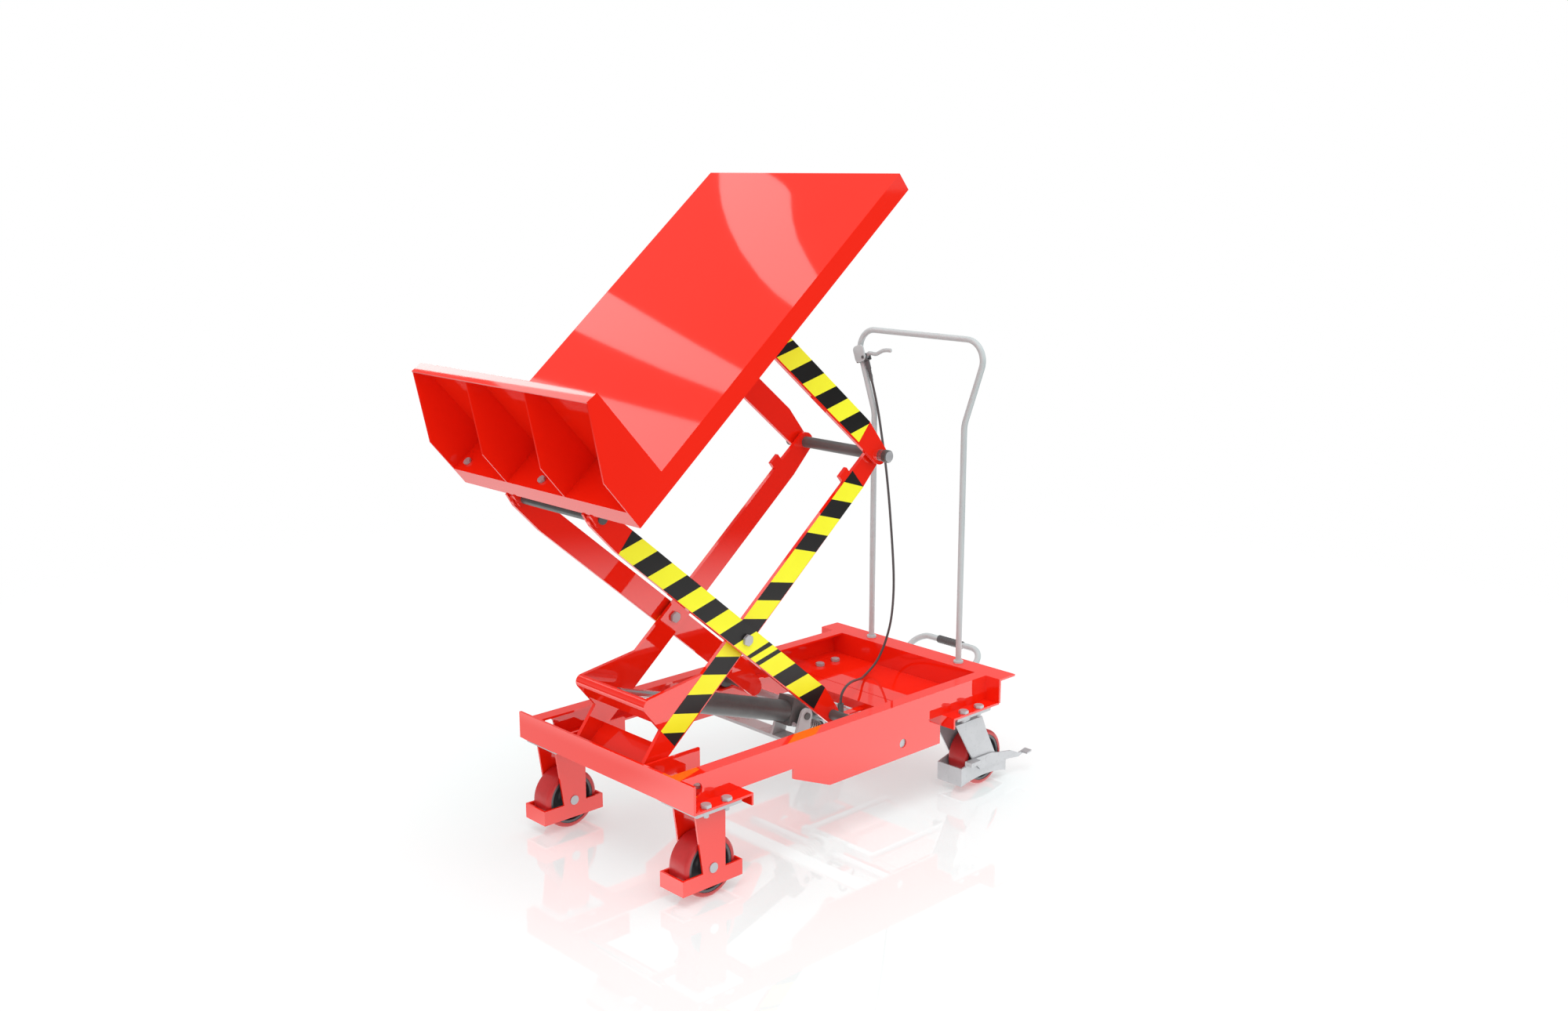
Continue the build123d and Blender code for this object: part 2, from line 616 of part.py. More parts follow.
with BuildPart() as lever_clamp:
    with BuildSketch(clamp_plane(CLAMP_WIDTH / 2)):
        with Locations((sum(CLAMP_REACH) / 2, 0)):
            Rectangle(CLAMP_REACH[1] - CLAMP_REACH[0], CLAMP_LENGTH)
    extrude(amount=CLAMP_WIDTH)
    chamfer(lever_clamp.edges().filter_by(Axis((0, 0, 0), tube_run)), length=2)
    with BuildSketch(Plane(origin=on_clamp(0, -CLAMP_LENGTH), x_dir=(1, 0, 0), z_dir=tube_run)):
        Circle(bored(HANDLE_TUBE_D))
    extrude(amount=2 * CLAMP_LENGTH, mode=Mode.SUBTRACT)
    with BuildSketch(clamp_plane(LEVER_THICKNESS / 2 + SIDE_PLAY)):
        outline(
            (SLOT_START, LEVER_HUB[1] - LEVER_HUB_RADIUS - 2),
            (CLAMP_REACH[1] + 5, LEVER_HUB[1] - LEVER_HUB_RADIUS - 2),
            (CLAMP_REACH[1] + 5, CLAMP_LENGTH),
            (SLOT_START, CLAMP_LENGTH),
        )
    extrude(amount=LEVER_THICKNESS + 2 * SIDE_PLAY, mode=Mode.SUBTRACT)
    with BuildSketch(clamp_plane(CLAMP_WIDTH / 2)):
        with Locations(LEVER_HUB):
            Circle(LEVER_PIN_D / 2)
    extrude(amount=CLAMP_WIDTH)
lever_clamp.part.label = "lever_clamp"
export_step(lever_clamp.part, "parts/lever_clamp.step")

hub_y = on_clamp(*LEVER_HUB).Y
hub_z = on_clamp(*LEVER_HUB).Z - FRAME_TOP
lever_line = [(hub_y + y, hub_z + z) for y, z in LEVER_LINE]
lever_root = ThreePointArc(*lever_line[:3])
lever_blade = ThreePointArc(*lever_line[2:])

with BuildPart() as release_lever:
    with BuildSketch(end_plane(HANDLE_X - LEVER_THICKNESS / 2)):
        with Locations((hub_y, hub_z)):
            Circle(LEVER_HUB_RADIUS)
        SlotArc(lever_root, LEVER_HEIGHT)
        SlotArc(lever_blade, LEVER_HEIGHT)
        with Locations((hub_y, hub_z)):
            Circle(bored(LEVER_PIN_D), mode=Mode.SUBTRACT)
    extrude(amount=LEVER_THICKNESS)
release_lever.part.label = "release_lever"
export_step(release_lever.part, "parts/release_lever.step")

adjuster_top = on_clamp(LEVER_HUB[0], -CLAMP_LENGTH / 2)
adjuster_end = adjuster_top - tube_run * ADJUSTER_LENGTH
with BuildPart() as cable_adjuster:
    with BuildSketch(Plane(origin=adjuster_top, x_dir=(1, 0, 0), z_dir=-tube_run)):
        Circle(ADJUSTER_D / 2)
    extrude(amount=ADJUSTER_LENGTH)
cable_adjuster.part.label = "cable_adjuster"
export_step(cable_adjuster.part, "parts/cable_adjuster.step")

# Release cable: straight runs joined by the largest arcs that its points allow.
cable_end = place(*FITTING, FITTING_TOP)
cable_start = adjuster_end - tube_run * CABLE_STRAIGHT
cable_points = [adjuster_end, cable_start, *(place(*point) for point in CABLE_ROUTE), cable_end]
cable_radii = []
for before, here, after in zip(cable_points, cable_points[1:], cable_points[2:]):
    run_in, run_out = here - before, after - here
    turn = radians(run_in.get_angle(run_out))
    cable_radii.append(0.45 * min(run_in.length, run_out.length) / tan(turn / 2))
print("cable radii", [round(radius) for radius in cable_radii])

with BuildPart() as release_cable:
    with BuildLine() as cable_path:
        FilletPolyline(*cable_points, radius=cable_radii)
    with BuildSketch(Plane(origin=cable_points[0], z_dir=cable_points[1] - cable_points[0])):
        Circle(CABLE_D / 2)
    sweep(path=cable_path.wire())
print("cable length", round(cable_path.wire().length), "volume", round(release_cable.part.volume))
release_cable.part.label = "release_cable"
export_step(release_cable.part, "parts/release_cable.step")

with BuildPart() as cable_fitting:
    with BuildSketch(level(FITTING_TOP)):
        with Locations(FITTING):
            Circle(FITTING_D / 2)
    extrude(amount=-FITTING_HEIGHT)
    with BuildSketch(level(FITTING_TOP - FITTING_HEIGHT)):
        with Locations(FITTING):
            Circle(FITTING_BORE_D / 2)
    extrude(amount=FITTING_HEIGHT * 0.75, mode=Mode.SUBTRACT)
cable_fitting.part.label = "cable_fitting"
export_step(cable_fitting.part, "parts/cable_fitting.step")

ANCHOR_TOP = FITTING_TOP - FITTING_HEIGHT
ANCHOR_HALF = 8.0
with BuildPart() as cable_anchor:
    with BuildSketch(level(ANCHOR_TOP)):
        with Locations(((FITTING[0] - ANCHOR_HALF + MID_PLATE_FRONT) / 2, FITTING[1])):
            Rectangle(MID_PLATE_FRONT - FITTING[0] + ANCHOR_HALF, 2 * ANCHOR_HALF)
        with Locations(FITTING):
            Circle(FITTING_BORE_D / 2, mode=Mode.SUBTRACT)
    extrude(amount=-SHEET)
cable_anchor.part.label = "cable_anchor"
export_step(cable_anchor.part, "parts/cable_anchor.step")

with BuildPart() as pump_bracket:
    with BuildSketch(level(-BRACKET_BAR_DEPTH)):
        with Locations((sum(BRACKET_BAR) / 2, 0)):
            Rectangle(BRACKET_BAR[1] - BRACKET_BAR[0], 2 * (RAIL_HALF_WIDTH - SKIRT_PLATE))
    extrude(amount=-BRACKET_PLATE)
    for outer in (BRACKET_INNER + BRACKET_PLATE, -BRACKET_INNER):
        with BuildSketch(side_plane(outer)):
            with Locations(CYLINDER_PIVOT):
                Circle(BRACKET_RADIUS)
            with Locations((sum(BRACKET_BAR) / 2, -BRACKET_BAR_DEPTH + 0.5)):
                Rectangle(BRACKET_BAR[1] - BRACKET_BAR[0], 1)
            make_hull()
            with Locations(CYLINDER_PIVOT):
                Circle(bored(CYLINDER_PIN_D), mode=Mode.SUBTRACT)
        extrude(amount=BRACKET_PLATE)
pump_bracket.part.label = "pump_bracket"
export_step(pump_bracket.part, "parts/pump_bracket.step")

PIN_HALF = BRACKET_INNER + BRACKET_PLATE + 3.0
with BuildPart() as cylinder_pin:
    with BuildSketch(side_plane(PIN_HALF)):
        with Locations(CYLINDER_PIVOT):
            Circle(CYLINDER_PIN_D / 2)
    extrude(amount=2 * PIN_HALF)
cylinder_pin.part.label = "cylinder_pin"
export_step(cylinder_pin.part, "parts/cylinder_pin.step")

# ================= inner arms =================

with BuildPart() as inner_arm_plates:
    arm_face = arm_plane(CENTRE, ARM_ANGLE, INNER_ARM_FACE, -1)
    with BuildSketch(arm_face):
        with Locations((-LOWER_REACH, -LOWER_DROP)):
            Circle(ARM_END_LOW)
        with Locations((INNER_REACH, UPPER_RISE)):
            Circle(ARM_END_TOP)
        with Locations((sum(INNER_BODY) / 2, 0)):
            Rectangle(INNER_BODY[1] - INNER_BODY[0], ARM_WIDTH)
        make_hull()
        with Locations((sum(STOP_BLOCK) / 2, (ARM_WIDTH + STOP_HEIGHT) / 2)):
            Rectangle(STOP_BLOCK[1] - STOP_BLOCK[0], STOP_HEIGHT)
    extrude(amount=ARM_THICKNESS)
    with BuildSketch(arm_face):
        with Locations(NOSE):
            Circle(NOSE_RADIUS)
        with Locations(((INNER_BODY[0] + CRANK_FOOT) / 2, ARM_WIDTH / 4)):
            Rectangle(CRANK_FOOT - INNER_BODY[0], ARM_WIDTH / 2)
        make_hull()
    extrude(amount=ARM_THICKNESS)
    with BuildSketch(arm_face):
        with Locations((-LOWER_REACH, -LOWER_DROP)):
            Circle(bored(LOWER_SHAFT_D))
        with Locations((INNER_REACH, UPPER_RISE)):
            Circle(bored(ELBOW_SHAFT_D))
        with Locations((0, 0)):
            Circle(bored(CENTRE_BOLT_D))
    extrude(amount=ARM_THICKNESS, mode=Mode.SUBTRACT)
    mirror(about=Plane.XZ)
inner_arm_plates.part.label = "inner_arm_plates"
export_step(inner_arm_plates.part, "parts/inner_arm_plates.step")

# The crank channel wraps the nose between the two arms and holds the pin that the rod pushes.
with BuildPart() as crank_channel:
    with BuildSketch(arm_plane(CENTRE, ARM_ANGLE, INNER_ARM_Y, -1)):
        with Locations(NOSE):
            Circle(NOSE_RADIUS)
            Circle(NOSE_RADIUS - CHANNEL_WALL, mode=Mode.SUBTRACT)
        opening_corner = step_from(NOSE, CHANNEL_OPENING, 3 * NOSE_RADIUS, 0)
        outline(
            NOSE,
            opening_corner,
            (NOSE[0] + 3 * NOSE_RADIUS, NOSE[1] - 3 * NOSE_RADIUS),
            (NOSE[0] - 3 * NOSE_RADIUS, NOSE[1] - 3 * NOSE_RADIUS),
            (NOSE[0] - 3 * NOSE_RADIUS, NOSE[1]),
            mode=Mode.SUBTRACT,
        )
        with Locations((NOSE[0] - NOSE_RADIUS + CHANNEL_WALL / 2, NOSE[1] - CHANNEL_LEG / 2)):
            Rectangle(CHANNEL_WALL, CHANNEL_LEG)
    extrude(amount=2 * INNER_ARM_Y)
crank_channel.part.label = "crank_channel"
export_step(crank_channel.part, "parts/crank_channel.step")

with BuildPart() as crank_pin:
    with BuildSketch(side_plane(INNER_ARM_Y)):
        with Locations(NOSE_POINT):
            Circle(CRANK_PIN_D / 2)
    extrude(amount=2 * INNER_ARM_Y)
crank_pin.part.label = "crank_pin"
export_step(crank_pin.part, "parts/crank_pin.step")

with BuildPart() as tie_plate:
    with BuildSketch(arm_plane(CENTRE, ARM_ANGLE, INNER_ARM_Y, -1)):
        with Locations((sum(TIE_PLATE) / 2, (CHANNEL_WALL - ARM_WIDTH) / 2)):
            Rectangle(TIE_PLATE[1] - TIE_PLATE[0], CHANNEL_WALL)
        with Locations((-LOWER_REACH, -LOWER_DROP)):
            Circle(bored(LOWER_SHAFT_D, OPEN_PIVOT_FIT), mode=Mode.SUBTRACT)
    extrude(amount=2 * INNER_ARM_Y)
tie_plate.part.label = "tie_plate"
export_step(tie_plate.part, "parts/tie_plate.step")

with BuildPart() as elbow_shaft:
    with BuildSketch(side_plane(ELBOW_END)):
        with Locations(ELBOW):
            Circle(ELBOW_SHAFT_D / 2)
    extrude(amount=2 * ELBOW_END)
elbow_shaft.part.label = "elbow_shaft"
export_step(elbow_shaft.part, "parts/elbow_shaft.step")

with BuildPart() as elbow_sleeve:
    with BuildSketch(side_plane(INNER_ARM_Y)):
        with Locations(ELBOW):
            Circle(ELBOW_SLEEVE_D / 2)
            Circle(bored(ELBOW_SHAFT_D), mode=Mode.SUBTRACT)
    extrude(amount=2 * INNER_ARM_Y)
elbow_sleeve.part.label = "elbow_sleeve"
export_step(elbow_sleeve.part, "parts/elbow_sleeve.step")

with BuildPart() as arm_spacers:
    for point, shaft in ((CENTRE, CENTRE_BOLT_D), (ELBOW, ELBOW_SHAFT_D)):
        with BuildSketch(side_plane(OUTER_ARM_Y - SIDE_PLAY)):
            with Locations(point):
                Circle(SPACER_D / 2)
                Circle(bored(shaft), mode=Mode.SUBTRACT)
        extrude(amount=ARM_SPACE - SIDE_PLAY)
    with BuildSketch(side_plane(ELBOW_END)):
        with Locations(ELBOW):
            Circle(ELBOW_COLLAR_D / 2)
            Circle(bored(ELBOW_SHAFT_D), mode=Mode.SUBTRACT)
    extrude(amount=ELBOW_END - OUTER_ARM_FACE - SIDE_PLAY)
    mirror(about=Plane.XZ)
arm_spacers.part.label = "arm_spacers"
export_step(arm_spacers.part, "parts/arm_spacers.step")

with BuildPart() as centre_bolts:
    head_face = OUTER_ARM_FACE + SIDE_PLAY
    with BuildSketch(side_plane(head_face + CENTRE_BOLT_HEAD)):
        with Locations(CENTRE):
            hexagon(CENTRE_BOLT_AF)
    extrude(amount=CENTRE_BOLT_HEAD)
    with BuildSketch(side_plane(INNER_ARM_Y)):
        with Locations(CENTRE):
            hexagon(CENTRE_BOLT_AF)
    extrude(amount=CENTRE_BOLT_HEAD)
    with BuildSketch(side_plane(head_face)):
        with Locations(CENTRE):
            Circle(CENTRE_BOLT_D / 2)
    extrude(amount=head_face - INNER_ARM_Y)
    mirror(about=Plane.XZ)
centre_bolts.part.label = "centre_bolts"
export_step(centre_bolts.part, "parts/centre_bolts.step")

# ================= outer arms and their rollers =================

with BuildPart() as outer_arm_plates:
    arm_face = arm_plane(CENTRE, OUTER_ANGLE, OUTER_ARM_Y, 1)
    with BuildSketch(arm_face):
        with Locations((-LOWER_REACH, -LOWER_DROP)):
            Circle(ARM_END_LOW)
        with Locations((OUTER_REACH, UPPER_RISE)):
            Circle(ARM_END_TOP)
        with Locations((sum(OUTER_BODY) / 2, 0)):
            Rectangle(OUTER_BODY[1] - OUTER_BODY[0], ARM_WIDTH)
        make_hull()
        with Locations((OUTER_REACH, UPPER_RISE)):
            Circle(bored(HINGE_SHAFT_D), mode=Mode.SUBTRACT)
        with Locations((0, 0)):
            Circle(bored(CENTRE_BOLT_D), mode=Mode.SUBTRACT)
    extrude(amount=ARM_THICKNESS)
    mirror(about=Plane.XZ)
outer_arm_plates.part.label = "outer_arm_plates"
export_step(outer_arm_plates.part, "parts/outer_arm_plates.step")

with BuildPart() as roller_axles:
    with BuildSketch(side_plane(ROLLER_END)):
        with Locations(ROLLER):
            Circle(ROLLER_AXLE_D / 2)
    extrude(amount=ROLLER_END - OUTER_ARM_FACE)
    mirror(about=Plane.XZ)
roller_axles.part.label = "roller_axles"
export_step(roller_axles.part, "parts/roller_axles.step")

ROLLER_RADIUS = FRAME_DEPTH / 2 - RAIL_WALL - ROLLER_PLAY
for side, name in ((-1, "left"), (1, "right")):
    near_face = ROLLER_END if side > 0 else ROLLER_LENGTH - ROLLER_END
    with BuildPart() as roller:
        with BuildSketch(side_plane(near_face)):
            with Locations(ROLLER):
                Circle(ROLLER_RADIUS)
                Circle(bored(ROLLER_AXLE_D), mode=Mode.SUBTRACT)
        extrude(amount=ROLLER_LENGTH)
    roller.part.label = f"roller_{name}"
    export_step(roller.part, f"parts/roller_{name}.step")

# ================= upper arms =================

with BuildPart() as upper_arm_plates:
    arm_face = arm_plane(ELBOW, OUTER_ANGLE, OUTER_ARM_Y, 1)
    with BuildSketch(arm_face):
        Circle(ARM_END_TOP - 1)
        with Locations((OUTER_REACH, UPPER_RISE)):
            Circle(ARM_END_TOP)
        with Locations((sum(UPPER_BODY) / 2, UPPER_ARM_SHIFT)):
            Rectangle(UPPER_BODY[1] - UPPER_BODY[0], ARM_WIDTH)
        make_hull()
        Circle(bored(ELBOW_SHAFT_D), mode=Mode.SUBTRACT)
        with Locations((OUTER_REACH, UPPER_RISE)):
            Circle(bored(HINGE_SHAFT_D, OPEN_PIVOT_FIT), mode=Mode.SUBTRACT)
    extrude(amount=ARM_THICKNESS)
    mirror(about=Plane.XZ)
upper_arm_plates.part.label = "upper_arm_plates"
export_step(upper_arm_plates.part, "parts/upper_arm_plates.step")

# ================= table =================


def table_side(y):
    """Side view along the deck: sketches read (along, up), extrude towards -Y."""
    return arm_plane(DECK, ARM_ANGLE, y, -1)


def table_top(height):
    """Plan of the deck: sketches read (along, y) and extrude away from the deck."""
    slope = radians(ARM_ANGLE)
    point = step_from(DECK, ARM_ANGLE, 0, height)
    return Plane(
        origin=place(point[0], 0, point[1]),
        x_dir=(cos(slope), 0, sin(slope)),
        z_dir=(-sin(slope), 0, cos(slope)),
    )


DECK_LENGTH = DECK_REAR - DECK_FRONT
DECK_MIDDLE = (DECK_REAR + DECK_FRONT) / 2

with BuildPart() as deck_plate:
    with BuildSketch(table_top(0)):
        with Locations((DECK_REAR / 2, 0)):
            Rectangle(DECK_REAR, 2 * DECK_HALF_WIDTH)
    extrude(amount=-SHEET)
deck_plate.part.label = "deck_plate"
export_step(deck_plate.part, "parts/deck_plate.step")

with BuildPart() as pocket_floor:
    with BuildSketch(table_top(0)):
        with Locations((DECK_FRONT / 2, 0)):
            Rectangle(-DECK_FRONT, 2 * DECK_HALF_WIDTH)
    extrude(amount=-SHEET)
pocket_floor.part.label = "pocket_floor"
export_step(pocket_floor.part, "parts/pocket_floor.step")

with BuildPart() as deck_skirts:
    with BuildSketch(table_top(-SHEET)):
        for y in (-DECK_HALF_WIDTH + SHEET / 2, DECK_HALF_WIDTH - SHEET / 2):
            with Locations((DECK_MIDDLE, y)):
                Rectangle(DECK_LENGTH, SHEET)
        for along in (DECK_FRONT + SHEET / 2, DECK_REAR - SHEET / 2):
            with Locations((along, 0)):
                Rectangle(SHEET, 2 * (DECK_HALF_WIDTH - SHEET))
    extrude(amount=SHEET - DECK_SKIRT)
deck_skirts.part.label = "deck_skirts"
export_step(deck_skirts.part, "parts/deck_skirts.step")

LEDGE_TOP = LEDGE_HEIGHT + LEDGE_FLANGE_RISE
with BuildPart() as ledge_sheet:
    with BuildSketch(table_side(DECK_HALF_WIDTH)):
        outline(
            (0, 0),
            (-LEDGE_LEAN, LEDGE_HEIGHT),
            (-LEDGE_LEAN - LEDGE_FLANGE, LEDGE_TOP),
            (-LEDGE_LEAN - LEDGE_FLANGE, LEDGE_TOP - SHEET),
            (-LEDGE_LEAN - SHEET, LEDGE_HEIGHT - SHEET),
            (-SHEET, 0),
        )
    extrude(amount=2 * DECK_HALF_WIDTH)
ledge_sheet.part.label = "ledge_sheet"
export_step(ledge_sheet.part, "parts/ledge_sheet.step")

with BuildPart() as ledge_gussets:
    for face in (
        DECK_HALF_WIDTH,
        MID_GUSSET_Y + SHEET / 2,
        SHEET / 2 - MID_GUSSET_Y,
        SHEET - DECK_HALF_WIDTH,
    ):
        with BuildSketch(table_side(face)):
            outline(
                (-SHEET, 0),
                (-LEDGE_LEAN - SHEET, LEDGE_HEIGHT - SHEET),
                (-LEDGE_LEAN - LEDGE_FLANGE, LEDGE_TOP - SHEET),
                GUSSET_KNEE,
                (DECK_FRONT, 0),
            )
        extrude(amount=SHEET)
ledge_gussets.part.label = "ledge_gussets"
export_step(ledge_gussets.part, "parts/ledge_gussets.step")

HINGES = (HINGE_IN_DECK, (HINGE_IN_DECK[0] + INNER_REACH, HINGE_IN_DECK[1] + UPPER_RISE))

with BuildPart() as hinge_lugs:
    for hinge in HINGES:
        foot_start = max(hinge[0] - LUG_FOOT / 2, DECK_FRONT + SHEET)
        foot_end = hinge[0] + LUG_FOOT
        for face in (LUG_INNER + LUG_THICKNESS, LUG_OUTER + LUG_THICKNESS):
            with BuildSketch(table_side(face)):
                with Locations(hinge):
                    Circle(LUG_RADIUS)
                with Locations(((foot_start + foot_end) / 2, -SHEET - 4)):
                    Rectangle(foot_end - foot_start, 8)
                make_hull()
                outline(
                    (DECK_FRONT - LUG_RADIUS, 0),
                    (DECK_FRONT + SHEET, 0),
                    (DECK_FRONT + SHEET, -DECK_SKIRT - 1),
                    (DECK_FRONT - LUG_RADIUS, -DECK_SKIRT - 1),
                    mode=Mode.SUBTRACT,
                )
                with Locations(hinge):
                    Circle(bored(HINGE_SHAFT_D), mode=Mode.SUBTRACT)
            extrude(amount=LUG_THICKNESS)
    mirror(about=Plane.XZ)
hinge_lugs.part.label = "hinge_lugs"
export_step(hinge_lugs.part, "parts/hinge_lugs.step")

with BuildPart() as hinge_shafts:
    with BuildSketch(table_side(HINGE_SHAFT_END)):
        with Locations(*HINGES):
            Circle(HINGE_SHAFT_D / 2)
    extrude(amount=2 * HINGE_SHAFT_END)
hinge_shafts.part.label = "hinge_shafts"
export_step(hinge_shafts.part, "parts/hinge_shafts.step")

with BuildPart() as pocket_bolts:
    with BuildSketch(table_top(0)):
        outer_bolt = DECK_HALF_WIDTH - POCKET_BOLT_INSET
        with Locations(*((POCKET_BOLT_X, y) for y in (-outer_bolt, 0, outer_bolt))):
            hexagon(POCKET_BOLT_AF)
    extrude(amount=POCKET_BOLT_HEAD)
pocket_bolts.part.label = "pocket_bolts"
export_step(pocket_bolts.part, "parts/pocket_bolts.step")

# ================= cylinder, pump and pedal =================

rod_line = Vector(*NOSE_POINT) - Vector(*CYLINDER_PIVOT)
ROD_ANGLE = degrees(atan2(rod_line.Y, rod_line.X))
ROD_REACH = rod_line.length - CRANK_PIN_D / 2 - ROD_GAP
PLUNGER_UP = 180.0 - PLUNGER_ANGLE     # from the pedal roller up into the pump
CONTACT = step_from(PEDAL_PIVOT, PLUNGER_UP, 0, PLUNGER_OFFSET)


def across(point, angle, distance):
    """Plane square to a direction in the side view; sketches extrude along it."""
    x, z = step_from(point, angle, distance, 0)
    direction = (cos(radians(angle)), 0, sin(radians(angle)))
    return Plane(origin=place(x, 0, z), x_dir=(0, 1, 0), z_dir=direction)


with BuildPart() as cylinder_barrel:
    with BuildSketch(across(CYLINDER_PIVOT, ROD_ANGLE, BARREL[0])):
        Circle(BARREL_D / 2)
    extrude(amount=BARREL[1] - BARREL[0])
    with BuildSketch(across(CYLINDER_PIVOT, ROD_ANGLE, BARREL[1] - GLAND_LENGTH)):
        Circle(GLAND_D / 2)
    extrude(amount=GLAND_LENGTH)
    with BuildSketch(across(CYLINDER_PIVOT, ROD_ANGLE, ROD_TAIL - ROD_STROKE)):
        Circle(bored(ROD_D))
    extrude(amount=BARREL[1] - ROD_TAIL + ROD_STROKE, mode=Mode.SUBTRACT)
cylinder_barrel.part.label = "cylinder_barrel"
export_step(cylinder_barrel.part, "parts/cylinder_barrel.step")

with BuildPart() as piston_rod:
    with BuildSketch(across(CYLINDER_PIVOT, ROD_ANGLE, ROD_TAIL)):
        Circle(ROD_D / 2)
    extrude(amount=ROD_REACH - ROD_TAIL)
piston_rod.part.label = "piston_rod"
export_step(piston_rod.part, "parts/piston_rod.step")

BLOCK_TOP = 30.0             # of the pump block above and below the cylinder's axis
BLOCK_BOTTOM = 25.0
BLOCK_TAIL = 52.0

with BuildPart() as pump_block:
    with BuildSketch(side_plane(PUMP_HALF)):
        outline(
            step_from(CYLINDER_PIVOT, ROD_ANGLE, BARREL[0], -BLOCK_TOP),
            step_from(CYLINDER_PIVOT, ROD_ANGLE, BARREL[0], BLOCK_BOTTOM),
            step_from(CYLINDER_PIVOT, ROD_ANGLE, 0, BLOCK_BOTTOM),
            step_from(CONTACT, PLUNGER_UP, PUMP_BOSS[0] + 8, -4),
            step_from(CONTACT, PLUNGER_UP, PUMP_BOSS[0] + 2, -PLUNGER_CAP_D / 2 - 2),
            step_from(CYLINDER_PIVOT, ROD_ANGLE, -BLOCK_TAIL, -4),
            step_from(CYLINDER_PIVOT, ROD_ANGLE, -BLOCK_TAIL, -17),
            step_from(CYLINDER_PIVOT, ROD_ANGLE, 4, -BLOCK_TOP),
        )
    extrude(amount=2 * PUMP_HALF)
    with BuildSketch(across(CONTACT, PLUNGER_UP, PUMP_BOSS[0])):
        Circle(PLUNGER_CAP_D / 2 + 1)
    extrude(amount=PUMP_BOSS[1] - PUMP_BOSS[0])
    with BuildSketch(across(CONTACT, PLUNGER_UP, PUMP_BOSS[0])):
        Circle(bored(PLUNGER_D))
    extrude(amount=PLUNGER_BORE - PUMP_BOSS[0], mode=Mode.SUBTRACT)
    with BuildSketch(side_plane(PUMP_HALF)):
        with Locations(CYLINDER_PIVOT):
            Circle(bored(CYLINDER_PIN_D))
    extrude(amount=2 * PUMP_HALF, mode=Mode.SUBTRACT)
    with BuildSketch(side_plane(-PUMP_HALF)):
        with Locations(VALVE_STUD):
            Circle(VALVE_STUD_D / 2)
    extrude(amount=-PUMP_HALF - VALVE_LEVER_Y + VALVE_LEVER_PLATE + 1)
pump_block.part.label = "pump_block"
export_step(pump_block.part, "parts/pump_block.step")

VALVE_SCREWS = ((446.0, -66.0), (458.0, -72.0))
with BuildPart() as valve_screws:
    with BuildSketch(side_plane(-PUMP_HALF)):
        with Locations(*VALVE_SCREWS):
            Circle(4.5)
    extrude(amount=4)
    with BuildSketch(side_plane(-PUMP_HALF - 4)):
        with Locations(*VALVE_SCREWS):
            Circle(3)
    extrude(amount=2.5)
valve_screws.part.label = "valve_screws"
export_step(valve_screws.part, "parts/valve_screws.step")

with BuildPart() as pump_plunger:
    with BuildSketch(across(CONTACT, PLUNGER_UP, 0)):
        Circle(PLUNGER_CAP_D / 2)
    extrude(amount=PLUNGER_CAP)
    with BuildSketch(across(CONTACT, PLUNGER_UP, PLUNGER_CAP)):
        Circle(PLUNGER_D / 2)
    extrude(amount=PLUNGER_LENGTH - PLUNGER_CAP)
pump_plunger.part.label = "pump_plunger"
export_step(pump_plunger.part, "parts/pump_plunger.step")

SPRING_RADIUS = (PLUNGER_CAP_D - SPRING_WIRE) / 2 - 0.5
SPRING_SEAT = SPRING_WIRE / 2 + 0.2
spring_length = PUMP_BOSS[0] - PLUNGER_CAP - 2 * SPRING_SEAT
spring_base = across(CONTACT, PLUNGER_UP, PLUNGER_CAP + SPRING_SEAT)
spring_path = spring_base.location * Helix(spring_length / SPRING_COILS, spring_length, SPRING_RADIUS)
with BuildPart() as return_spring:
    with BuildSketch(Plane(origin=spring_path @ 0, z_dir=spring_path % 0)):
        Circle(SPRING_WIRE / 2)
    sweep(path=spring_path, is_frenet=True)
return_spring.part.label = "return_spring"
export_step(return_spring.part, "parts/return_spring.step")

with BuildPart() as valve_lever:
    with BuildSketch(side_plane(VALVE_LEVER_Y)):
        with Locations(VALVE_STUD):
            Circle(VALVE_STUD_D)
        with Locations(VALVE_LEVER_END):
            Circle(VALVE_PIN_D * 0.8)
        make_hull()
        with Locations(VALVE_STUD):
            Circle(bored(VALVE_STUD_D), mode=Mode.SUBTRACT)
    extrude(amount=VALVE_LEVER_PLATE)
    with BuildSketch(side_plane(VALVE_LEVER_Y - VALVE_LEVER_PLATE)):
        with Locations(VALVE_LEVER_END):
            Circle(VALVE_PIN_D / 2)
    extrude(amount=VALVE_LEVER_Y - VALVE_LEVER_PLATE - FITTING[1] + VALVE_PIN_D / 2)
    with BuildSketch(level(VALVE_LEVER_END[1])):
        with Locations(FITTING):
            Circle(CABLE_WIRE_D / 2)
    extrude(amount=FITTING_TOP - FITTING_HEIGHT / 2 - VALVE_LEVER_END[1])
valve_lever.part.label = "valve_lever"
export_step(valve_lever.part, "parts/valve_lever.step")

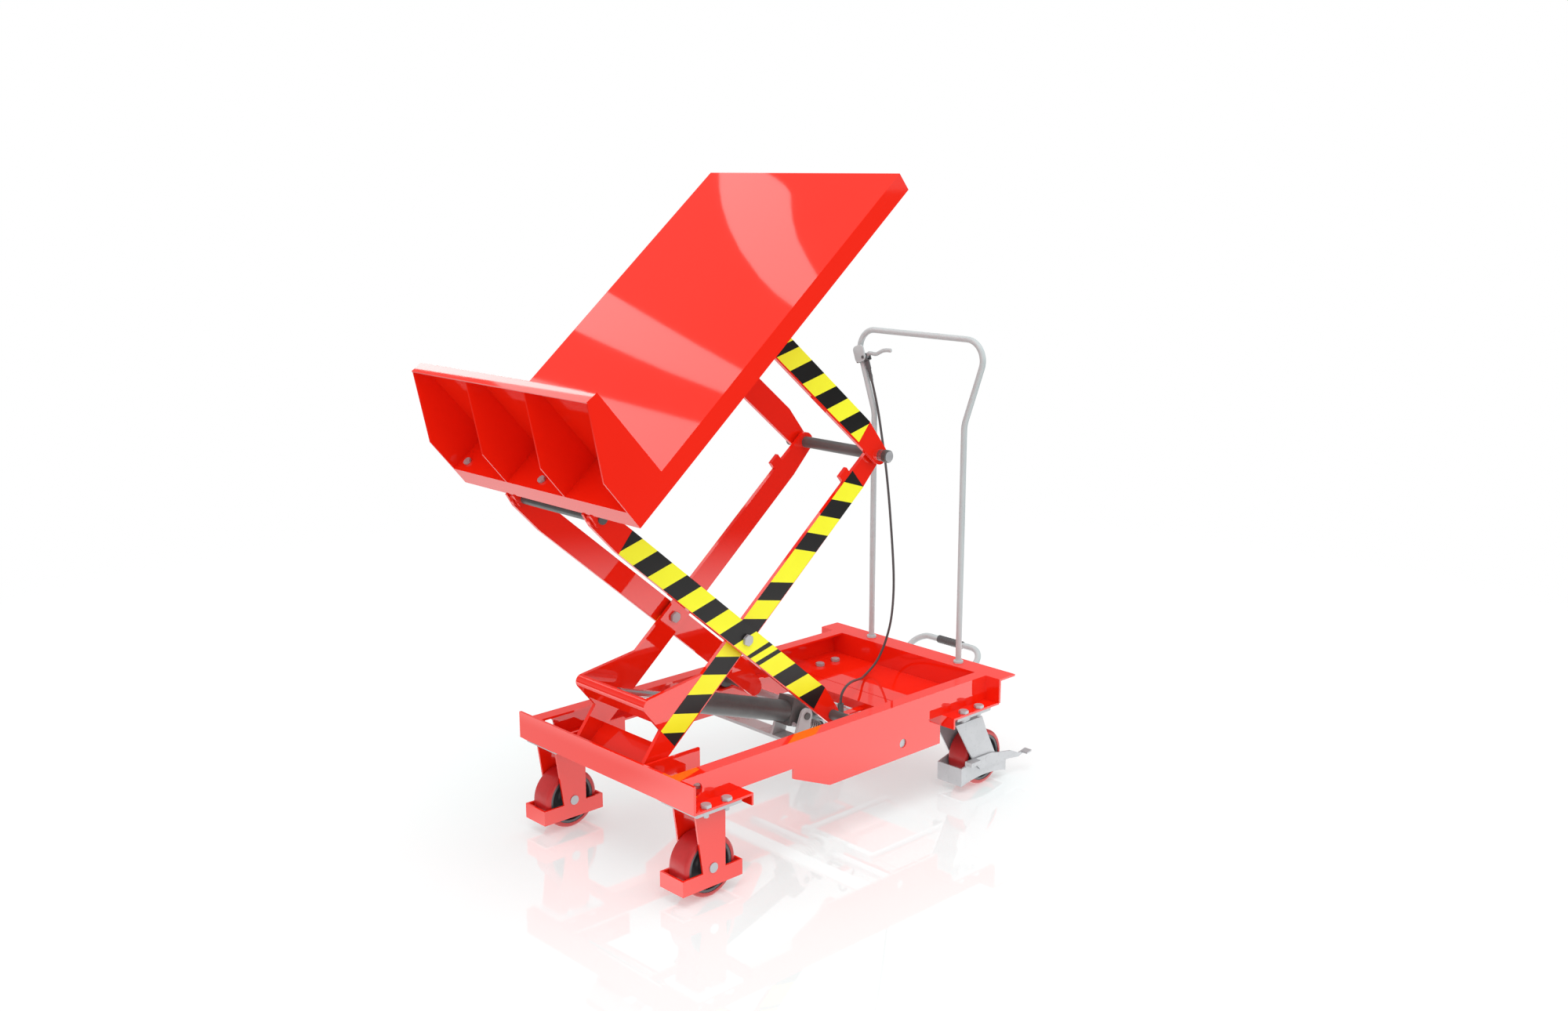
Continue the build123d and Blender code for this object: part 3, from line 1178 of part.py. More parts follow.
# Foot pedal: a bent tube loop welded to a yoke whose cheeks turn on the pedal shaft.
pedal_corners = [
    place(PEDAL_YOKE[1], -PEDAL_HALF_WIDTH, PEDAL_KNEE[1]),
    place(PEDAL_KNEE[0], -PEDAL_HALF_WIDTH, PEDAL_KNEE[1]),
    place(PEDAL_BAR[0], -PEDAL_HALF_WIDTH, PEDAL_BAR[1]),
    place(PEDAL_BAR[0], PEDAL_HALF_WIDTH, PEDAL_BAR[1]),
    place(PEDAL_KNEE[0], PEDAL_HALF_WIDTH, PEDAL_KNEE[1]),
    place(PEDAL_YOKE[1], PEDAL_HALF_WIDTH, PEDAL_KNEE[1]),
]
ROLLER_OFFSET = PEDAL_ROLLER_D / 2 + ROD_GAP
PEDAL_ROLLER = step_from(CONTACT, PLUNGER_UP, -ROLLER_OFFSET, 0)
YOKE_MIDDLE = (sum(PEDAL_YOKE) / 2, PEDAL_KNEE[1])

with BuildPart() as pedal_frame:
    with BuildLine() as pedal_path:
        FilletPolyline(*pedal_corners, radius=PEDAL_BEND)
    with BuildSketch(end_plane(PEDAL_YOKE[1])):
        with Locations((-PEDAL_HALF_WIDTH, PEDAL_KNEE[1])):
            Circle(PEDAL_TUBE_D / 2)
    sweep(path=pedal_path.wire())
    with BuildSketch(end_plane(PEDAL_YOKE[0])):
        with Locations((0, PEDAL_KNEE[1])):
            Rectangle(2 * PEDAL_HALF_WIDTH + PEDAL_TUBE_D, PEDAL_YOKE_HEIGHT)
    extrude(amount=PEDAL_YOKE[1] - PEDAL_YOKE[0])
    for outer in (CHEEK_INNER + CHEEK_PLATE, -CHEEK_INNER):
        with BuildSketch(side_plane(outer)):
            with Locations(PEDAL_PIVOT):
                Circle(PEDAL_SHAFT_D)
            with Locations(PEDAL_ROLLER):
                Circle(PEDAL_ROLLER_D * 0.7)
            with Locations(YOKE_MIDDLE):
                Rectangle(PEDAL_YOKE[1] - PEDAL_YOKE[0], PEDAL_YOKE_HEIGHT)
            make_hull()
            with Locations(PEDAL_PIVOT):
                Circle(bored(PEDAL_SHAFT_D), mode=Mode.SUBTRACT)
        extrude(amount=CHEEK_PLATE)
    with BuildSketch(side_plane(CHEEK_INNER)):
        with Locations(PEDAL_ROLLER):
            Circle(PEDAL_ROLLER_D / 2)
    extrude(amount=2 * CHEEK_INNER)
pedal_frame.part.label = "pedal_frame"
export_step(pedal_frame.part, "parts/pedal_frame.step")

with BuildPart() as pedal_grip:
    with BuildSketch(side_plane(GRIP_LENGTH / 2)):
        with Locations(PEDAL_BAR):
            Circle(GRIP_D / 2)
            Circle(bored(PEDAL_TUBE_D), mode=Mode.SUBTRACT)
    extrude(amount=GRIP_LENGTH)
pedal_grip.part.label = "pedal_grip"
export_step(pedal_grip.part, "parts/pedal_grip.step")

# ================= swivel casters, brakes and wheels =================

def beside_axle(points):
    """Points given from the rear axle, in the side view."""
    return [(REAR_AXLE_X + x, AXLE_DEPTH + z) for x, z in points]


for side, name in ((-1, "left"), (1, "right")):
    y = side * CASTER_Y
    with BuildPart() as swivel_fork:
        with BuildSketch(level(PLATE_BOTTOM)):
            with Locations((SWIVEL_X, y)):
                Circle(RACE_RADIUS)
        extrude(amount=-CROWN_DEPTH - PLATE_BOTTOM)
        with BuildSketch(level(-CROWN_DEPTH)):
            with Locations((sum(CROWN_X) / 2, y)):
                Rectangle(CROWN_X[1] - CROWN_X[0], SWIVEL_SPAN)
        extrude(amount=-SWIVEL_PLATE)
        for face in (y + SWIVEL_SPAN / 2, y - SWIVEL_SPAN / 2 + SWIVEL_PLATE):
            with BuildSketch(side_plane(face)):
                outline(
                    (CROWN_X[0], -CROWN_DEPTH),
                    (REAR_AXLE_X + SWIVEL_FOOT[0], AXLE_DEPTH),
                    (REAR_AXLE_X + SWIVEL_FOOT[1], AXLE_DEPTH),
                    (REAR_AXLE_X + SWIVEL_SHOULDER, -SKIRT_LOW),
                    (CROWN_X[1], -CROWN_DEPTH),
                )
                with BuildLine():
                    Polyline(
                        *beside_axle(
                            [
                                (REAR_GUARD_REACH[0], REAR_GUARD_FRONT[1]),
                                (REAR_GUARD_REACH[0], REAR_GUARD_FRONT[0]),
                                (SWIVEL_FOOT[0], SWIVEL_LAP),
                                (SWIVEL_FOOT[1], SWIVEL_LAP),
                                (REAR_GUARD_REACH[1], REAR_GUARD_REAR[0]),
                                (REAR_GUARD_REACH[1], REAR_GUARD_REAR[1]),
                            ]
                        )
                    )
                    ThreePointArc(
                        *beside_axle(
                            [
                                (REAR_GUARD_REACH[1], REAR_GUARD_REAR[1]),
                                REAR_GUARD_ARCH,
                                (REAR_GUARD_REACH[0], REAR_GUARD_FRONT[1]),
                            ]
                        )
                    )
                make_face()
                with Locations((REAR_AXLE_X, AXLE_DEPTH)):
                    Circle(bored(AXLE_D), mode=Mode.SUBTRACT)
            extrude(amount=SWIVEL_PLATE)
        for x, (top, bottom) in (
            (REAR_GUARD_REACH[0], REAR_GUARD_FRONT),
            (REAR_GUARD_REACH[1] - SWIVEL_PLATE, REAR_GUARD_REAR),
        ):
            with BuildSketch(end_plane(REAR_AXLE_X + x)):
                with Locations((y, AXLE_DEPTH + (top + bottom) / 2)):
                    Rectangle(SWIVEL_SPAN, top - bottom)
            extrude(amount=SWIVEL_PLATE)
        axle_reach = SWIVEL_SPAN / 2 + BRAKE_PLATE + 2 * BRAKE_GAP
        with BuildSketch(side_plane(y + axle_reach)):
            with Locations((REAR_AXLE_X, AXLE_DEPTH)):
                Circle(AXLE_D / 2)
        extrude(amount=2 * axle_reach)
    swivel_fork.part.label = f"swivel_fork_{name}"
    export_step(swivel_fork.part, f"parts/swivel_fork_{name}.step")

    plate_face = CASTER_Y + SWIVEL_SPAN / 2 + BRAKE_GAP
    step_face = plate_face + BRAKE_PLATE
    with BuildPart() as brake_pedal:
        with BuildSketch(side_plane(side * plate_face)):
            outline(*beside_axle(BRAKE_PLATE_OUTLINE))
            with Locations((REAR_AXLE_X, AXLE_DEPTH)):
                Circle(bored(AXLE_D), mode=Mode.SUBTRACT)
        extrude(amount=-side * BRAKE_PLATE)
        with BuildSketch(side_plane(side * step_face)):
            outline(*beside_axle(BRAKE_PAD_OUTLINE))
            outline(*beside_axle(BRAKE_STEP_OUTLINE))
        extrude(amount=-side * BRAKE_STEP_WIDTH)
    brake_pedal.part.label = f"brake_pedal_{name}"
    export_step(brake_pedal.part, f"parts/brake_pedal_{name}.step")

    for end, axle_x in (("front", FRONT_AXLE_X), ("rear", REAR_AXLE_X)):
        centre = place(axle_x, y, AXLE_DEPTH)
        half = WHEEL_WIDTH / 2
        rim_half = half - 1
        section = Plane(origin=centre, x_dir=(0, 1, 0), z_dir=(1, 0, 0))
        with BuildPart() as wheel:
            with BuildSketch(section):
                outline(
                    (-half, bored(AXLE_D)),
                    (half, bored(AXLE_D)),
                    (half, HUB_RADIUS),
                    (WEB_WIDTH / 2, HUB_RADIUS),
                    (WEB_WIDTH / 2, RIM_RADIUS - RIM_LIP),
                    (rim_half, RIM_RADIUS - RIM_LIP),
                    (rim_half, RIM_RADIUS),
                    (-rim_half, RIM_RADIUS),
                    (-rim_half, RIM_RADIUS - RIM_LIP),
                    (-WEB_WIDTH / 2, RIM_RADIUS - RIM_LIP),
                    (-WEB_WIDTH / 2, HUB_RADIUS),
                    (-half, HUB_RADIUS),
                )
                outline(
                    (-half, RIM_RADIUS + RUNNING_FIT),
                    (half, RIM_RADIUS + RUNNING_FIT),
                    (half, WHEEL_RADIUS - TYRE_BEVEL),
                    (half - TYRE_BEVEL, WHEEL_RADIUS),
                    (TYRE_BEVEL - half, WHEEL_RADIUS),
                    (-half, WHEEL_RADIUS - TYRE_BEVEL),
                )
            revolve(axis=Axis(centre, (0, 1, 0)))
        wheel.part.label = f"{end}_wheel_{name}"
        export_step(wheel.part, f"parts/{end}_wheel_{name}.step")
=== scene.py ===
"""Looks of a mobile scissor lift and tilt table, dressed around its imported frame."""

from __future__ import annotations

import itertools
import json
import logging
import math
from collections.abc import Iterable, Sequence
from dataclasses import dataclass
from enum import Enum

import bpy
from mathutils import Matrix, Vector

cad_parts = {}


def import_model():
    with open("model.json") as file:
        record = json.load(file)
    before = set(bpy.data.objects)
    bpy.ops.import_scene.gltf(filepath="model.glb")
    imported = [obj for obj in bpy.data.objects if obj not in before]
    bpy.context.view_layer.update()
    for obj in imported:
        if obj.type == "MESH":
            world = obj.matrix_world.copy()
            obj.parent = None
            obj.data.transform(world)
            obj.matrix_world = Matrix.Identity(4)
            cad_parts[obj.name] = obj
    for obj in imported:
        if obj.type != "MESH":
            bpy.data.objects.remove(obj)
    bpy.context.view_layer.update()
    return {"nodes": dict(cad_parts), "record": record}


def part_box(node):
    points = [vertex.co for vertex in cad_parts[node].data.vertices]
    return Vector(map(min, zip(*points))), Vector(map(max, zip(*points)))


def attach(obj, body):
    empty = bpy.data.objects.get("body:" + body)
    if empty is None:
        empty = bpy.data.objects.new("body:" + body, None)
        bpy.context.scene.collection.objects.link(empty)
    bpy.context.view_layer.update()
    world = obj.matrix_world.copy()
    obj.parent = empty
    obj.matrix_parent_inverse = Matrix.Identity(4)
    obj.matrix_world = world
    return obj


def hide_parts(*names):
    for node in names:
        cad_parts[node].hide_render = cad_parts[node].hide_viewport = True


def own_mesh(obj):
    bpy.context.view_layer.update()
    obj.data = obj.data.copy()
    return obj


LOG = logging.getLogger("scissor_table")

Colour = tuple[float, float, float]
Point = tuple[float, float, float]

MILLI = 0.001
FRAME_FRONT = -377.0  # face of the front plate from the origin, in millimetres
FRAME_TOP = 223.5  # top of the chassis above the floor
ARM_ANGLE = 40.0  # direction of the inner arms, in degrees
OUTER_ANGLE = 180.0 - ARM_ANGLE
INNER_FACE = 97.0  # outer face of the inner arms from the middle
OUTER_FACE = 112.0  # outer face of the outer and the upper arms from the middle
SIDES = (-1, 1)  # left and right
UP = Vector((0.0, 0.0, 1.0))


def at(x: float, y: float, z: float) -> Vector:
    """Gives a point in metres from its place in the side views.

    Args:
        x: Millimetres behind the front plate.
        y: Millimetres to the right of the middle.
        z: Millimetres above the top of the chassis.

    Returns:
        The point in the shared frame.
    """
    return Vector(((FRAME_FRONT + x) * MILLI, y * MILLI, (FRAME_TOP + z) * MILLI))


def step_from(point: tuple[float, float], angle: float, ahead: float, left: float) -> tuple[float, float]:
    """Moves a point of the side view ahead and to the left of a direction.

    Args:
        point: Start, in millimetres.
        angle: Direction above the horizontal, in degrees.
        ahead: Distance along the direction.
        left: Distance to the left of it.

    Returns:
        The moved point.
    """
    c, s = math.cos(math.radians(angle)), math.sin(math.radians(angle))
    return point[0] + ahead * c - left * s, point[1] + ahead * s + left * c


# Pivots in the side view, and the origin of the deck's own measure.
LOWER_PIVOT = (27.0, -26.0)
CENTRE = step_from(LOWER_PIVOT, ARM_ANGLE, 291.0, 9.0)
ELBOW = step_from(CENTRE, ARM_ANGLE, 448.0, 3.0)
FRONT_HINGE = step_from(CENTRE, OUTER_ANGLE, 418.0, -3.0)
DECK = step_from(FRONT_HINGE, ARM_ANGLE, 76.2, 57.0)


@dataclass(frozen=True)
class Post:
    """The right post of the push handle, which carries the release lever's clamp.

    Attributes:
        x: Middle of the tube behind the front plate.
        bend: Its middle from the table's middle, and its height, where it starts to lean outwards.
        spread: How far it leans outwards over the rise.
        rise: Height of the leaning stretch.
        clamp_height: Height of the clamp's middle.
    """

    x: float = 817.0
    bend: tuple[float, float] = (121.5, 490.0)
    spread: float = 58.8
    rise: float = 170.0
    clamp_height: float = 592.0

    def run(self) -> Vector:
        """Gives the direction of the leaning stretch."""
        return Vector((0.0, self.spread / self.rise, 1.0)).normalized()

    def clamp(self) -> Vector:
        """Gives the clamp's middle, in metres."""
        y, z = self.bend
        return at(self.x, y + self.spread / self.rise * (self.clamp_height - z), self.clamp_height)

    def on_clamp(self, inward: float, along: float) -> Vector:
        """Gives a point beside the clamp's middle.

        Args:
            inward: Millimetres from the tube's middle towards the other post.
            along: Millimetres up the tube.

        Returns:
            The point in metres.
        """
        run = self.run()
        return self.clamp() + Vector((0.0, -run.z, run.y)) * inward * MILLI + run * along * MILLI

    def frame(self) -> Matrix:
        """Gives the clamp's frame: forwards, inwards and up the tube.

        Returns:
            The move from that frame to the shared one.
        """
        run = self.run()
        turn = Matrix(((-1.0, 0.0, 0.0), (0.0, -run.z, run.y), (0.0, run.y, run.z))).to_4x4()
        return Matrix.Translation(self.clamp()) @ turn


POST = Post()


# ---------------------------------------------------------------- shader graphs


class Wire:
    """A shader socket that takes part in Python arithmetic."""

    def __init__(self, graph: "Graph", socket: bpy.types.NodeSocket) -> None:
        """Keeps the graph and the socket."""
        self.graph = graph
        self.socket = socket

    def maths(self, operation: str, *others: "Wire | float") -> "Wire":
        """Adds a Math node.

        Args:
            operation: Blender's name of the operation.
            others: Further operands.

        Returns:
            The node's value.
        """
        inputs = dict(enumerate((self, *others)))
        return self.graph.wire("ShaderNodeMath", {"operation": operation}, inputs)

    def __add__(self, other: "Wire | float") -> "Wire":
        """Adds."""
        return self.maths("ADD", other)

    def __radd__(self, other: float) -> "Wire":
        """Adds, from the right."""
        return self.maths("ADD", other)

    def __sub__(self, other: "Wire | float") -> "Wire":
        """Subtracts."""
        return self.maths("SUBTRACT", other)

    def __rsub__(self, other: float) -> "Wire":
        """Subtracts this from a number."""
        return (self * -1.0).maths("ADD", other)

    def __mul__(self, other: "Wire | float") -> "Wire":
        """Multiplies."""
        return self.maths("MULTIPLY", other)

    def __rmul__(self, other: float) -> "Wire":
        """Multiplies, from the right."""
        return self.maths("MULTIPLY", other)

    def band(self, low: float, high: float) -> "Wire":
        """Rises smoothly from 0 at the low value to 1 at the high one.

        Args:
            low: Value that gives 0.
            high: Value that gives 1; it may be the smaller one.

        Returns:
            The smooth step.
        """
        settings = {"interpolation_type": "SMOOTHSTEP"}
        inputs = {"Value": self, "From Min": low, "From Max": high}
        return self.graph.wire("ShaderNodeMapRange", settings, inputs)


class Graph:
    """The node tree of one material or of the world."""

    def __init__(self, tree: bpy.types.NodeTree) -> None:
        """Empties the tree and keeps it."""
        tree.nodes.clear()
        self.tree = tree

    def node(self, kind: str, settings: dict | None = None, inputs: dict | None = None) -> bpy.types.Node:
        """Adds a node.

        Args:
            kind: Blender's type name.
            settings: Properties, set before the sockets.
            inputs: Values or links of the sockets, by name or place.

        Returns:
            The node.
        """
        made = self.tree.nodes.new(kind)
        for key, value in (settings or {}).items():
            setattr(made, key, value)
        for key, value in (inputs or {}).items():
            if isinstance(value, Wire):
                self.tree.links.new(value.socket, made.inputs[key])
            elif isinstance(value, bpy.types.Node):
                self.tree.links.new(value.outputs[0], made.inputs[key])
            else:
                made.inputs[key].default_value = value
        return made

    def wire(
        self, kind: str, settings: dict | None = None, inputs: dict | None = None, output: int | str = 0
    ) -> Wire:
        """Adds a node and gives one of its outputs.

        Args:
            kind: Blender's type name.
            settings: Properties, set before the sockets.
            inputs: Values or links of the sockets.
            output: Name or place of the output.

        Returns:
            The output.
        """
        return Wire(self, self.node(kind, settings, inputs).outputs[output])

    def mixed(self, first: "Colour | Wire", second: "Colour | Wire", share: "Wire | float") -> Wire:
        """Mixes two colours.

        Args:
            first: Colour at share 0.
            second: Colour at share 1.
            share: How much of the second.

        Returns:
            The mixed colour.
        """
        ends = [end if isinstance(end, Wire) else (*end, 1.0) for end in (first, second)]
        return self.wire("ShaderNodeMix", {"data_type": "RGBA"}, {0: share, 6: ends[0], 7: ends[1]}, 2)

    def place(self, stretch: Point = (1.0, 1.0, 1.0)) -> Wire:
        """Gives the object's own coordinates, stretched.

        Args:
            stretch: Scale along each axis.

        Returns:
            The coordinates.
        """
        own = self.wire("ShaderNodeTexCoord", output="Object")
        return self.wire("ShaderNodeMapping", None, {"Vector": own, "Scale": stretch})

    def noise(self, size: float, detail: float = 2.0, stretch: Point = (1.0, 1.0, 1.0)) -> Wire:
        """Adds soft noise.

        Args:
            size: Size of a patch, in metres.
            detail: Octaves.
            stretch: Scale along each axis.

        Returns:
            Values around a half.
        """
        inputs = {"Vector": self.place(stretch), "Scale": 1.0 / size, "Detail": detail}
        return self.wire("ShaderNodeTexNoise", None, inputs)

    def emission(self, strength: "Wire | float", colour: "Wire | None" = None) -> bpy.types.Node:
        """Adds a light of its own, white where no colour is given.

        Args:
            strength: Its strength; 1 is white.
            colour: Its colour.

        Returns:
            The shader.
        """
        inputs = {"Strength": strength} if colour is None else {"Color": colour, "Strength": strength}
        return self.node("ShaderNodeEmission", None, inputs)

    def close(self, shader: bpy.types.Node, kind: str = "ShaderNodeOutputMaterial") -> None:
        """Links the last shader to the output.

        Args:
            shader: Node that makes the surface.
            kind: Type of the output node.
        """
        self.node(kind, None, {"Surface": shader})


def blank_material(name: str) -> tuple[bpy.types.Material, Graph]:
    """Makes a material with nothing in it.

    Args:
        name: Name of the material.

    Returns:
        The material and its graph.
    """
    made = bpy.data.materials.new(name)
    made.use_nodes = True
    return made, Graph(made.node_tree)


# ---------------------------------------------------------------- finishes


@dataclass(frozen=True)
class Finish:
    """A surface finish: a colour that drifts a little, a sheen and a fine relief.

    Attributes:
        name: Name of the material.
        colour: Main colour.
        drift: Colour that it drifts to.
        roughness: Middle roughness.
        spread: How far the roughness varies.
        metallic: Share of bare metal.
        ior: Refractive index, for the strength of reflections.
        patch: Size of the colour's patches, in metres.
        grain: Size of the relief's grain, in metres.
        relief: Depth of the relief, in metres.
        stretch: Scale of the grain along each axis.
    """

    name: str
    colour: Colour
    drift: Colour
    roughness: float
    spread: float = 0.05
    metallic: float = 0.0
    ior: float = 1.5
    patch: float = 0.12
    grain: float = 0.002
    relief: float = 0.00002
    stretch: Point = (1.0, 1.0, 1.0)

    def base(self, graph: Graph) -> Wire:
        """Gives the surface's colour.

        Args:
            graph: Graph of the material.

        Returns:
            The colour.
        """
        return graph.mixed(self.colour, self.drift, graph.noise(self.patch).band(0.3, 0.7))

    def material(self) -> bpy.types.Material:
        """Makes the material, or finds it where it was made before.

        Returns:
            The material.
        """
        made = bpy.data.materials.get(self.name)
        if made:
            return made
        made, graph = blank_material(self.name)
        grain = graph.noise(self.grain, 3.0, self.stretch)
        shade = self.roughness + (graph.noise(self.patch * 0.4, 3.0) - 0.5) * self.spread
        relief = {"Strength": 1.0, "Distance": self.relief, "Height": grain}
        inputs = {
            "Base Color": self.base(graph),
            "Roughness": shade,
            "Metallic": self.metallic,
            "IOR": self.ior,
            "Normal": graph.node("ShaderNodeBump", None, relief),
        }
        graph.close(graph.node("ShaderNodeBsdfPrincipled", None, inputs))
        return made


@dataclass(frozen=True)
class WornFinish(Finish):
    """A finish with fine darker specks, as on plated or phosphated steel.

    Attributes:
        speck: Colour of the specks.
        speck_size: Their size, in metres.
    """

    speck: Colour = (0.3, 0.3, 0.3)
    speck_size: float = 0.004

    def base(self, graph: Graph) -> Wire:
        """Gives the colour with its specks.

        Args:
            graph: Graph of the material.

        Returns:
            The colour.
        """
        specks = graph.noise(self.speck_size, 4.0, self.stretch).band(0.56, 0.72)
        return graph.mixed(super().base(graph), self.speck, specks)


class Coat(Enum):
    """The finishes of this table."""

    RED = Finish(
        "red_enamel", (0.92, 0.018, 0.005), (0.89, 0.016, 0.004), 0.035, 0.02, ior=1.645, patch=0.35,
        grain=0.0011, relief=0.0000012,
    )
    ZINC = WornFinish(
        "zinc_plate", (0.46, 0.47, 0.485), (0.43, 0.44, 0.455), 0.34, 0.12, 0.25, patch=0.03,
        speck=(0.40, 0.41, 0.42), speck_size=0.006,
    )
    STEEL = WornFinish(
        "dark_phosphate_steel", (0.098, 0.108, 0.106), (0.082, 0.090, 0.089), 0.42, 0.12, 0.1, patch=0.03,
        stretch=(1.0, 0.06, 1.0), speck=(0.074, 0.080, 0.079),
    )
    TUBE = Finish("grey_tube_enamel", (0.52, 0.585, 0.59), (0.495, 0.56, 0.565), 0.28, 0.08, patch=0.09)
    CHROME = Finish("rod_chrome", (0.62, 0.63, 0.64), (0.56, 0.57, 0.58), 0.14, 0.05, 0.9, patch=0.02)
    BLACK = Finish("black_moulding", (0.115, 0.118, 0.12), (0.095, 0.098, 0.10), 0.5, 0.15, grain=0.0006)
    JACKET = Finish("cable_jacket", (0.085, 0.085, 0.087), (0.075, 0.075, 0.076), 0.42, 0.1, grain=0.0005)
    TYRE = Finish(
        "red_polyurethane", (0.52, 0.016, 0.018), (0.47, 0.014, 0.015), 0.36, 0.15, patch=0.02,
        grain=0.0008, relief=0.00004,
    )
    SLEEVE = Finish("grey_sleeve", (0.125, 0.160, 0.158), (0.110, 0.140, 0.138), 0.42, 0.1, 0.1, patch=0.03)
    RIM = Finish("rim_nylon", (0.080, 0.085, 0.092), (0.066, 0.070, 0.076), 0.42, 0.12, patch=0.015, grain=0.0007)
    YELLOW = Finish("yellow_vinyl", (0.99, 1.0, 0.030), (0.96, 0.965, 0.026), 0.32, 0.08, ior=1.33, patch=0.06)
    STRIPE = Finish("black_vinyl", (0.010, 0.010, 0.0095), (0.013, 0.0125, 0.012), 0.36, 0.08, ior=1.33, patch=0.06)
    SPRING = Finish("spring_wire", (0.62, 0.58, 0.58), (0.52, 0.48, 0.48), 0.25, 0.1, 0.4, patch=0.01)

    def material(self) -> bpy.types.Material:
        """Gives the material of this finish."""
        return self.value.material()


SLOT_COATS = {
    "red_frame": Coat.RED,
    "zinc": Coat.ZINC,
    "dark_steel": Coat.STEEL,
    "white_tube": Coat.TUBE,
    "black_plastic": Coat.BLACK,
    "wheel": Coat.TYRE,
}
NODE_COATS = {
    "piston_rod": Coat.CHROME,
    "hinge_shafts": Coat.STEEL,
    "pump_bracket": Coat.TUBE,
    "elbow_sleeve": Coat.SLEEVE,
}


# ---------------------------------------------------------------- modelling bench


class Bench:
    """Moves of the modelling bench; lengths are in millimetres."""

    @staticmethod
    def clear() -> None:
        """Deselects everything."""
        bpy.ops.object.select_all(action="DESELECT")

    @staticmethod
    def only(piece: bpy.types.Object) -> None:
        """Selects one piece and makes it active."""
        Bench.clear()
        piece.select_set(True)
        bpy.context.view_layer.objects.active = piece

    @staticmethod
    def tidy(piece: bpy.types.Object) -> bpy.types.Object:
        """Merges doubles and turns the faces outwards.

        Args:
            piece: Closed mesh.

        Returns:
            The same piece.
        """
        Bench.only(piece)
        bpy.ops.object.mode_set(mode="EDIT")
        bpy.ops.mesh.select_all(action="SELECT")
        bpy.ops.mesh.remove_doubles(threshold=2e-6)
        bpy.ops.mesh.normals_make_consistent(inside=False)
        bpy.ops.object.mode_set(mode="OBJECT")
        return piece

    @staticmethod
    def turned(
        name: str, profile: Sequence[tuple[float, float]], sides: int = 48, bored: bool = False
    ) -> bpy.types.Object:
        """Turns a piece about the vertical, by extruding and scaling one ring.

        Args:
            name: Name of the piece.
            profile: Radius and height of each step, from the bottom up.
            sides: Facets round the axis.
            bored: Whether the profile closes on itself round a bore.

        Returns:
            The piece, its axis on the origin.
        """
        Bench.clear()
        radius, height = profile[0]
        bpy.ops.mesh.primitive_circle_add(
            vertices=sides,
            radius=radius * MILLI,
            fill_type="NOTHING" if bored else "NGON",
            location=(0.0, 0.0, height * MILLI),
        )
        piece = bpy.context.object
        piece.name = name
        bpy.ops.object.mode_set(mode="EDIT")
        bpy.ops.mesh.select_all(action="SELECT")
        for (radius, height), (next_radius, next_height) in zip(profile, profile[1:]):
            rise = (0.0, 0.0, (next_height - height) * MILLI)
            bpy.ops.mesh.extrude_region_move(TRANSFORM_OT_translate={"value": rise})
            ratio = next_radius / radius
            bpy.ops.transform.resize(value=(ratio, ratio, 1.0), center_override=(0.0, 0.0, 0.0))
        bpy.ops.object.mode_set(mode="OBJECT")
        Bench.settle(piece, Matrix.Identity(4))
        return Bench.tidy(piece)

    @staticmethod
    def settle(piece: bpy.types.Object, move: Matrix) -> bpy.types.Object:
        """Moves a piece and puts its place into its mesh.

        Args:
            piece: Piece to move.
            move: Where it goes.

        Returns:
            The same piece, its object at the origin.
        """
        Bench.only(piece)
        piece.matrix_world = move @ piece.matrix_world
        bpy.context.view_layer.update()
        bpy.ops.object.transform_apply(location=True, rotation=True, scale=True)
        return piece

    @staticmethod
    def modified(piece: bpy.types.Object, kind: str, settings: dict) -> bpy.types.Object:
        """Puts a modifier on a piece and applies it.

        Args:
            piece: Piece to change.
            kind: Blender's name of the modifier's type.
            settings: The modifier's properties.

        Returns:
            The same piece.
        """
        Bench.only(piece)
        modifier = piece.modifiers.new(kind.lower(), kind)
        for key, value in settings.items():
            setattr(modifier, key, value)
        bpy.ops.object.modifier_apply(modifier=modifier.name)
        return piece

    @staticmethod
    def trimmed(piece: bpy.types.Object, tool: bpy.types.Object, operation: str) -> bpy.types.Object:
        """Cuts a piece with a tool, which is used up.

        Args:
            piece: Piece to cut.
            tool: Closed shape that cuts it.
            operation: DIFFERENCE to cut the tool away, INTERSECT to keep what is inside it.

        Returns:
            The same piece.
        """
        Bench.modified(piece, "BOOLEAN", {"operation": operation, "solver": "EXACT", "object": tool})
        bpy.data.objects.remove(tool)
        return piece

    @staticmethod
    def strand(name: str, points: Sequence[Vector], radius: float, steps: tuple[int, int]) -> bpy.types.Object:
        """Runs a round strand with closed ends past a row of points, as a curve.

        Args:
            name: Name of the piece.
            points: The points, in metres.
            radius: Its radius.
            steps: Steps round a quarter and between two points; with 0 between, it runs straight from each to the next.

        Returns:
            The piece, still a curve.
        """
        data = bpy.data.curves.new(name, "CURVE")
        data.dimensions = "3D"
        data.bevel_depth = radius * MILLI
        data.bevel_resolution = steps[0]
        data.use_fill_caps = True
        spline = data.splines.new("NURBS" if steps[1] else "POLY")
        spline.points.add(len(points) - 1)
        for target, point in zip(spline.points, points):
            target.co = (*point, 1.0)
        if steps[1]:
            data.resolution_u = steps[1]
            spline.order_u = 3
            spline.use_endpoint_u = True
        piece = bpy.data.objects.new(name, data)
        bpy.context.collection.objects.link(piece)
        return piece

    @staticmethod
    def meshed(piece: bpy.types.Object) -> bpy.types.Object:
        """Turns a curve into a clean mesh, and returns it."""
        Bench.only(piece)
        bpy.ops.object.convert(target="MESH")
        return Bench.tidy(bpy.context.object)

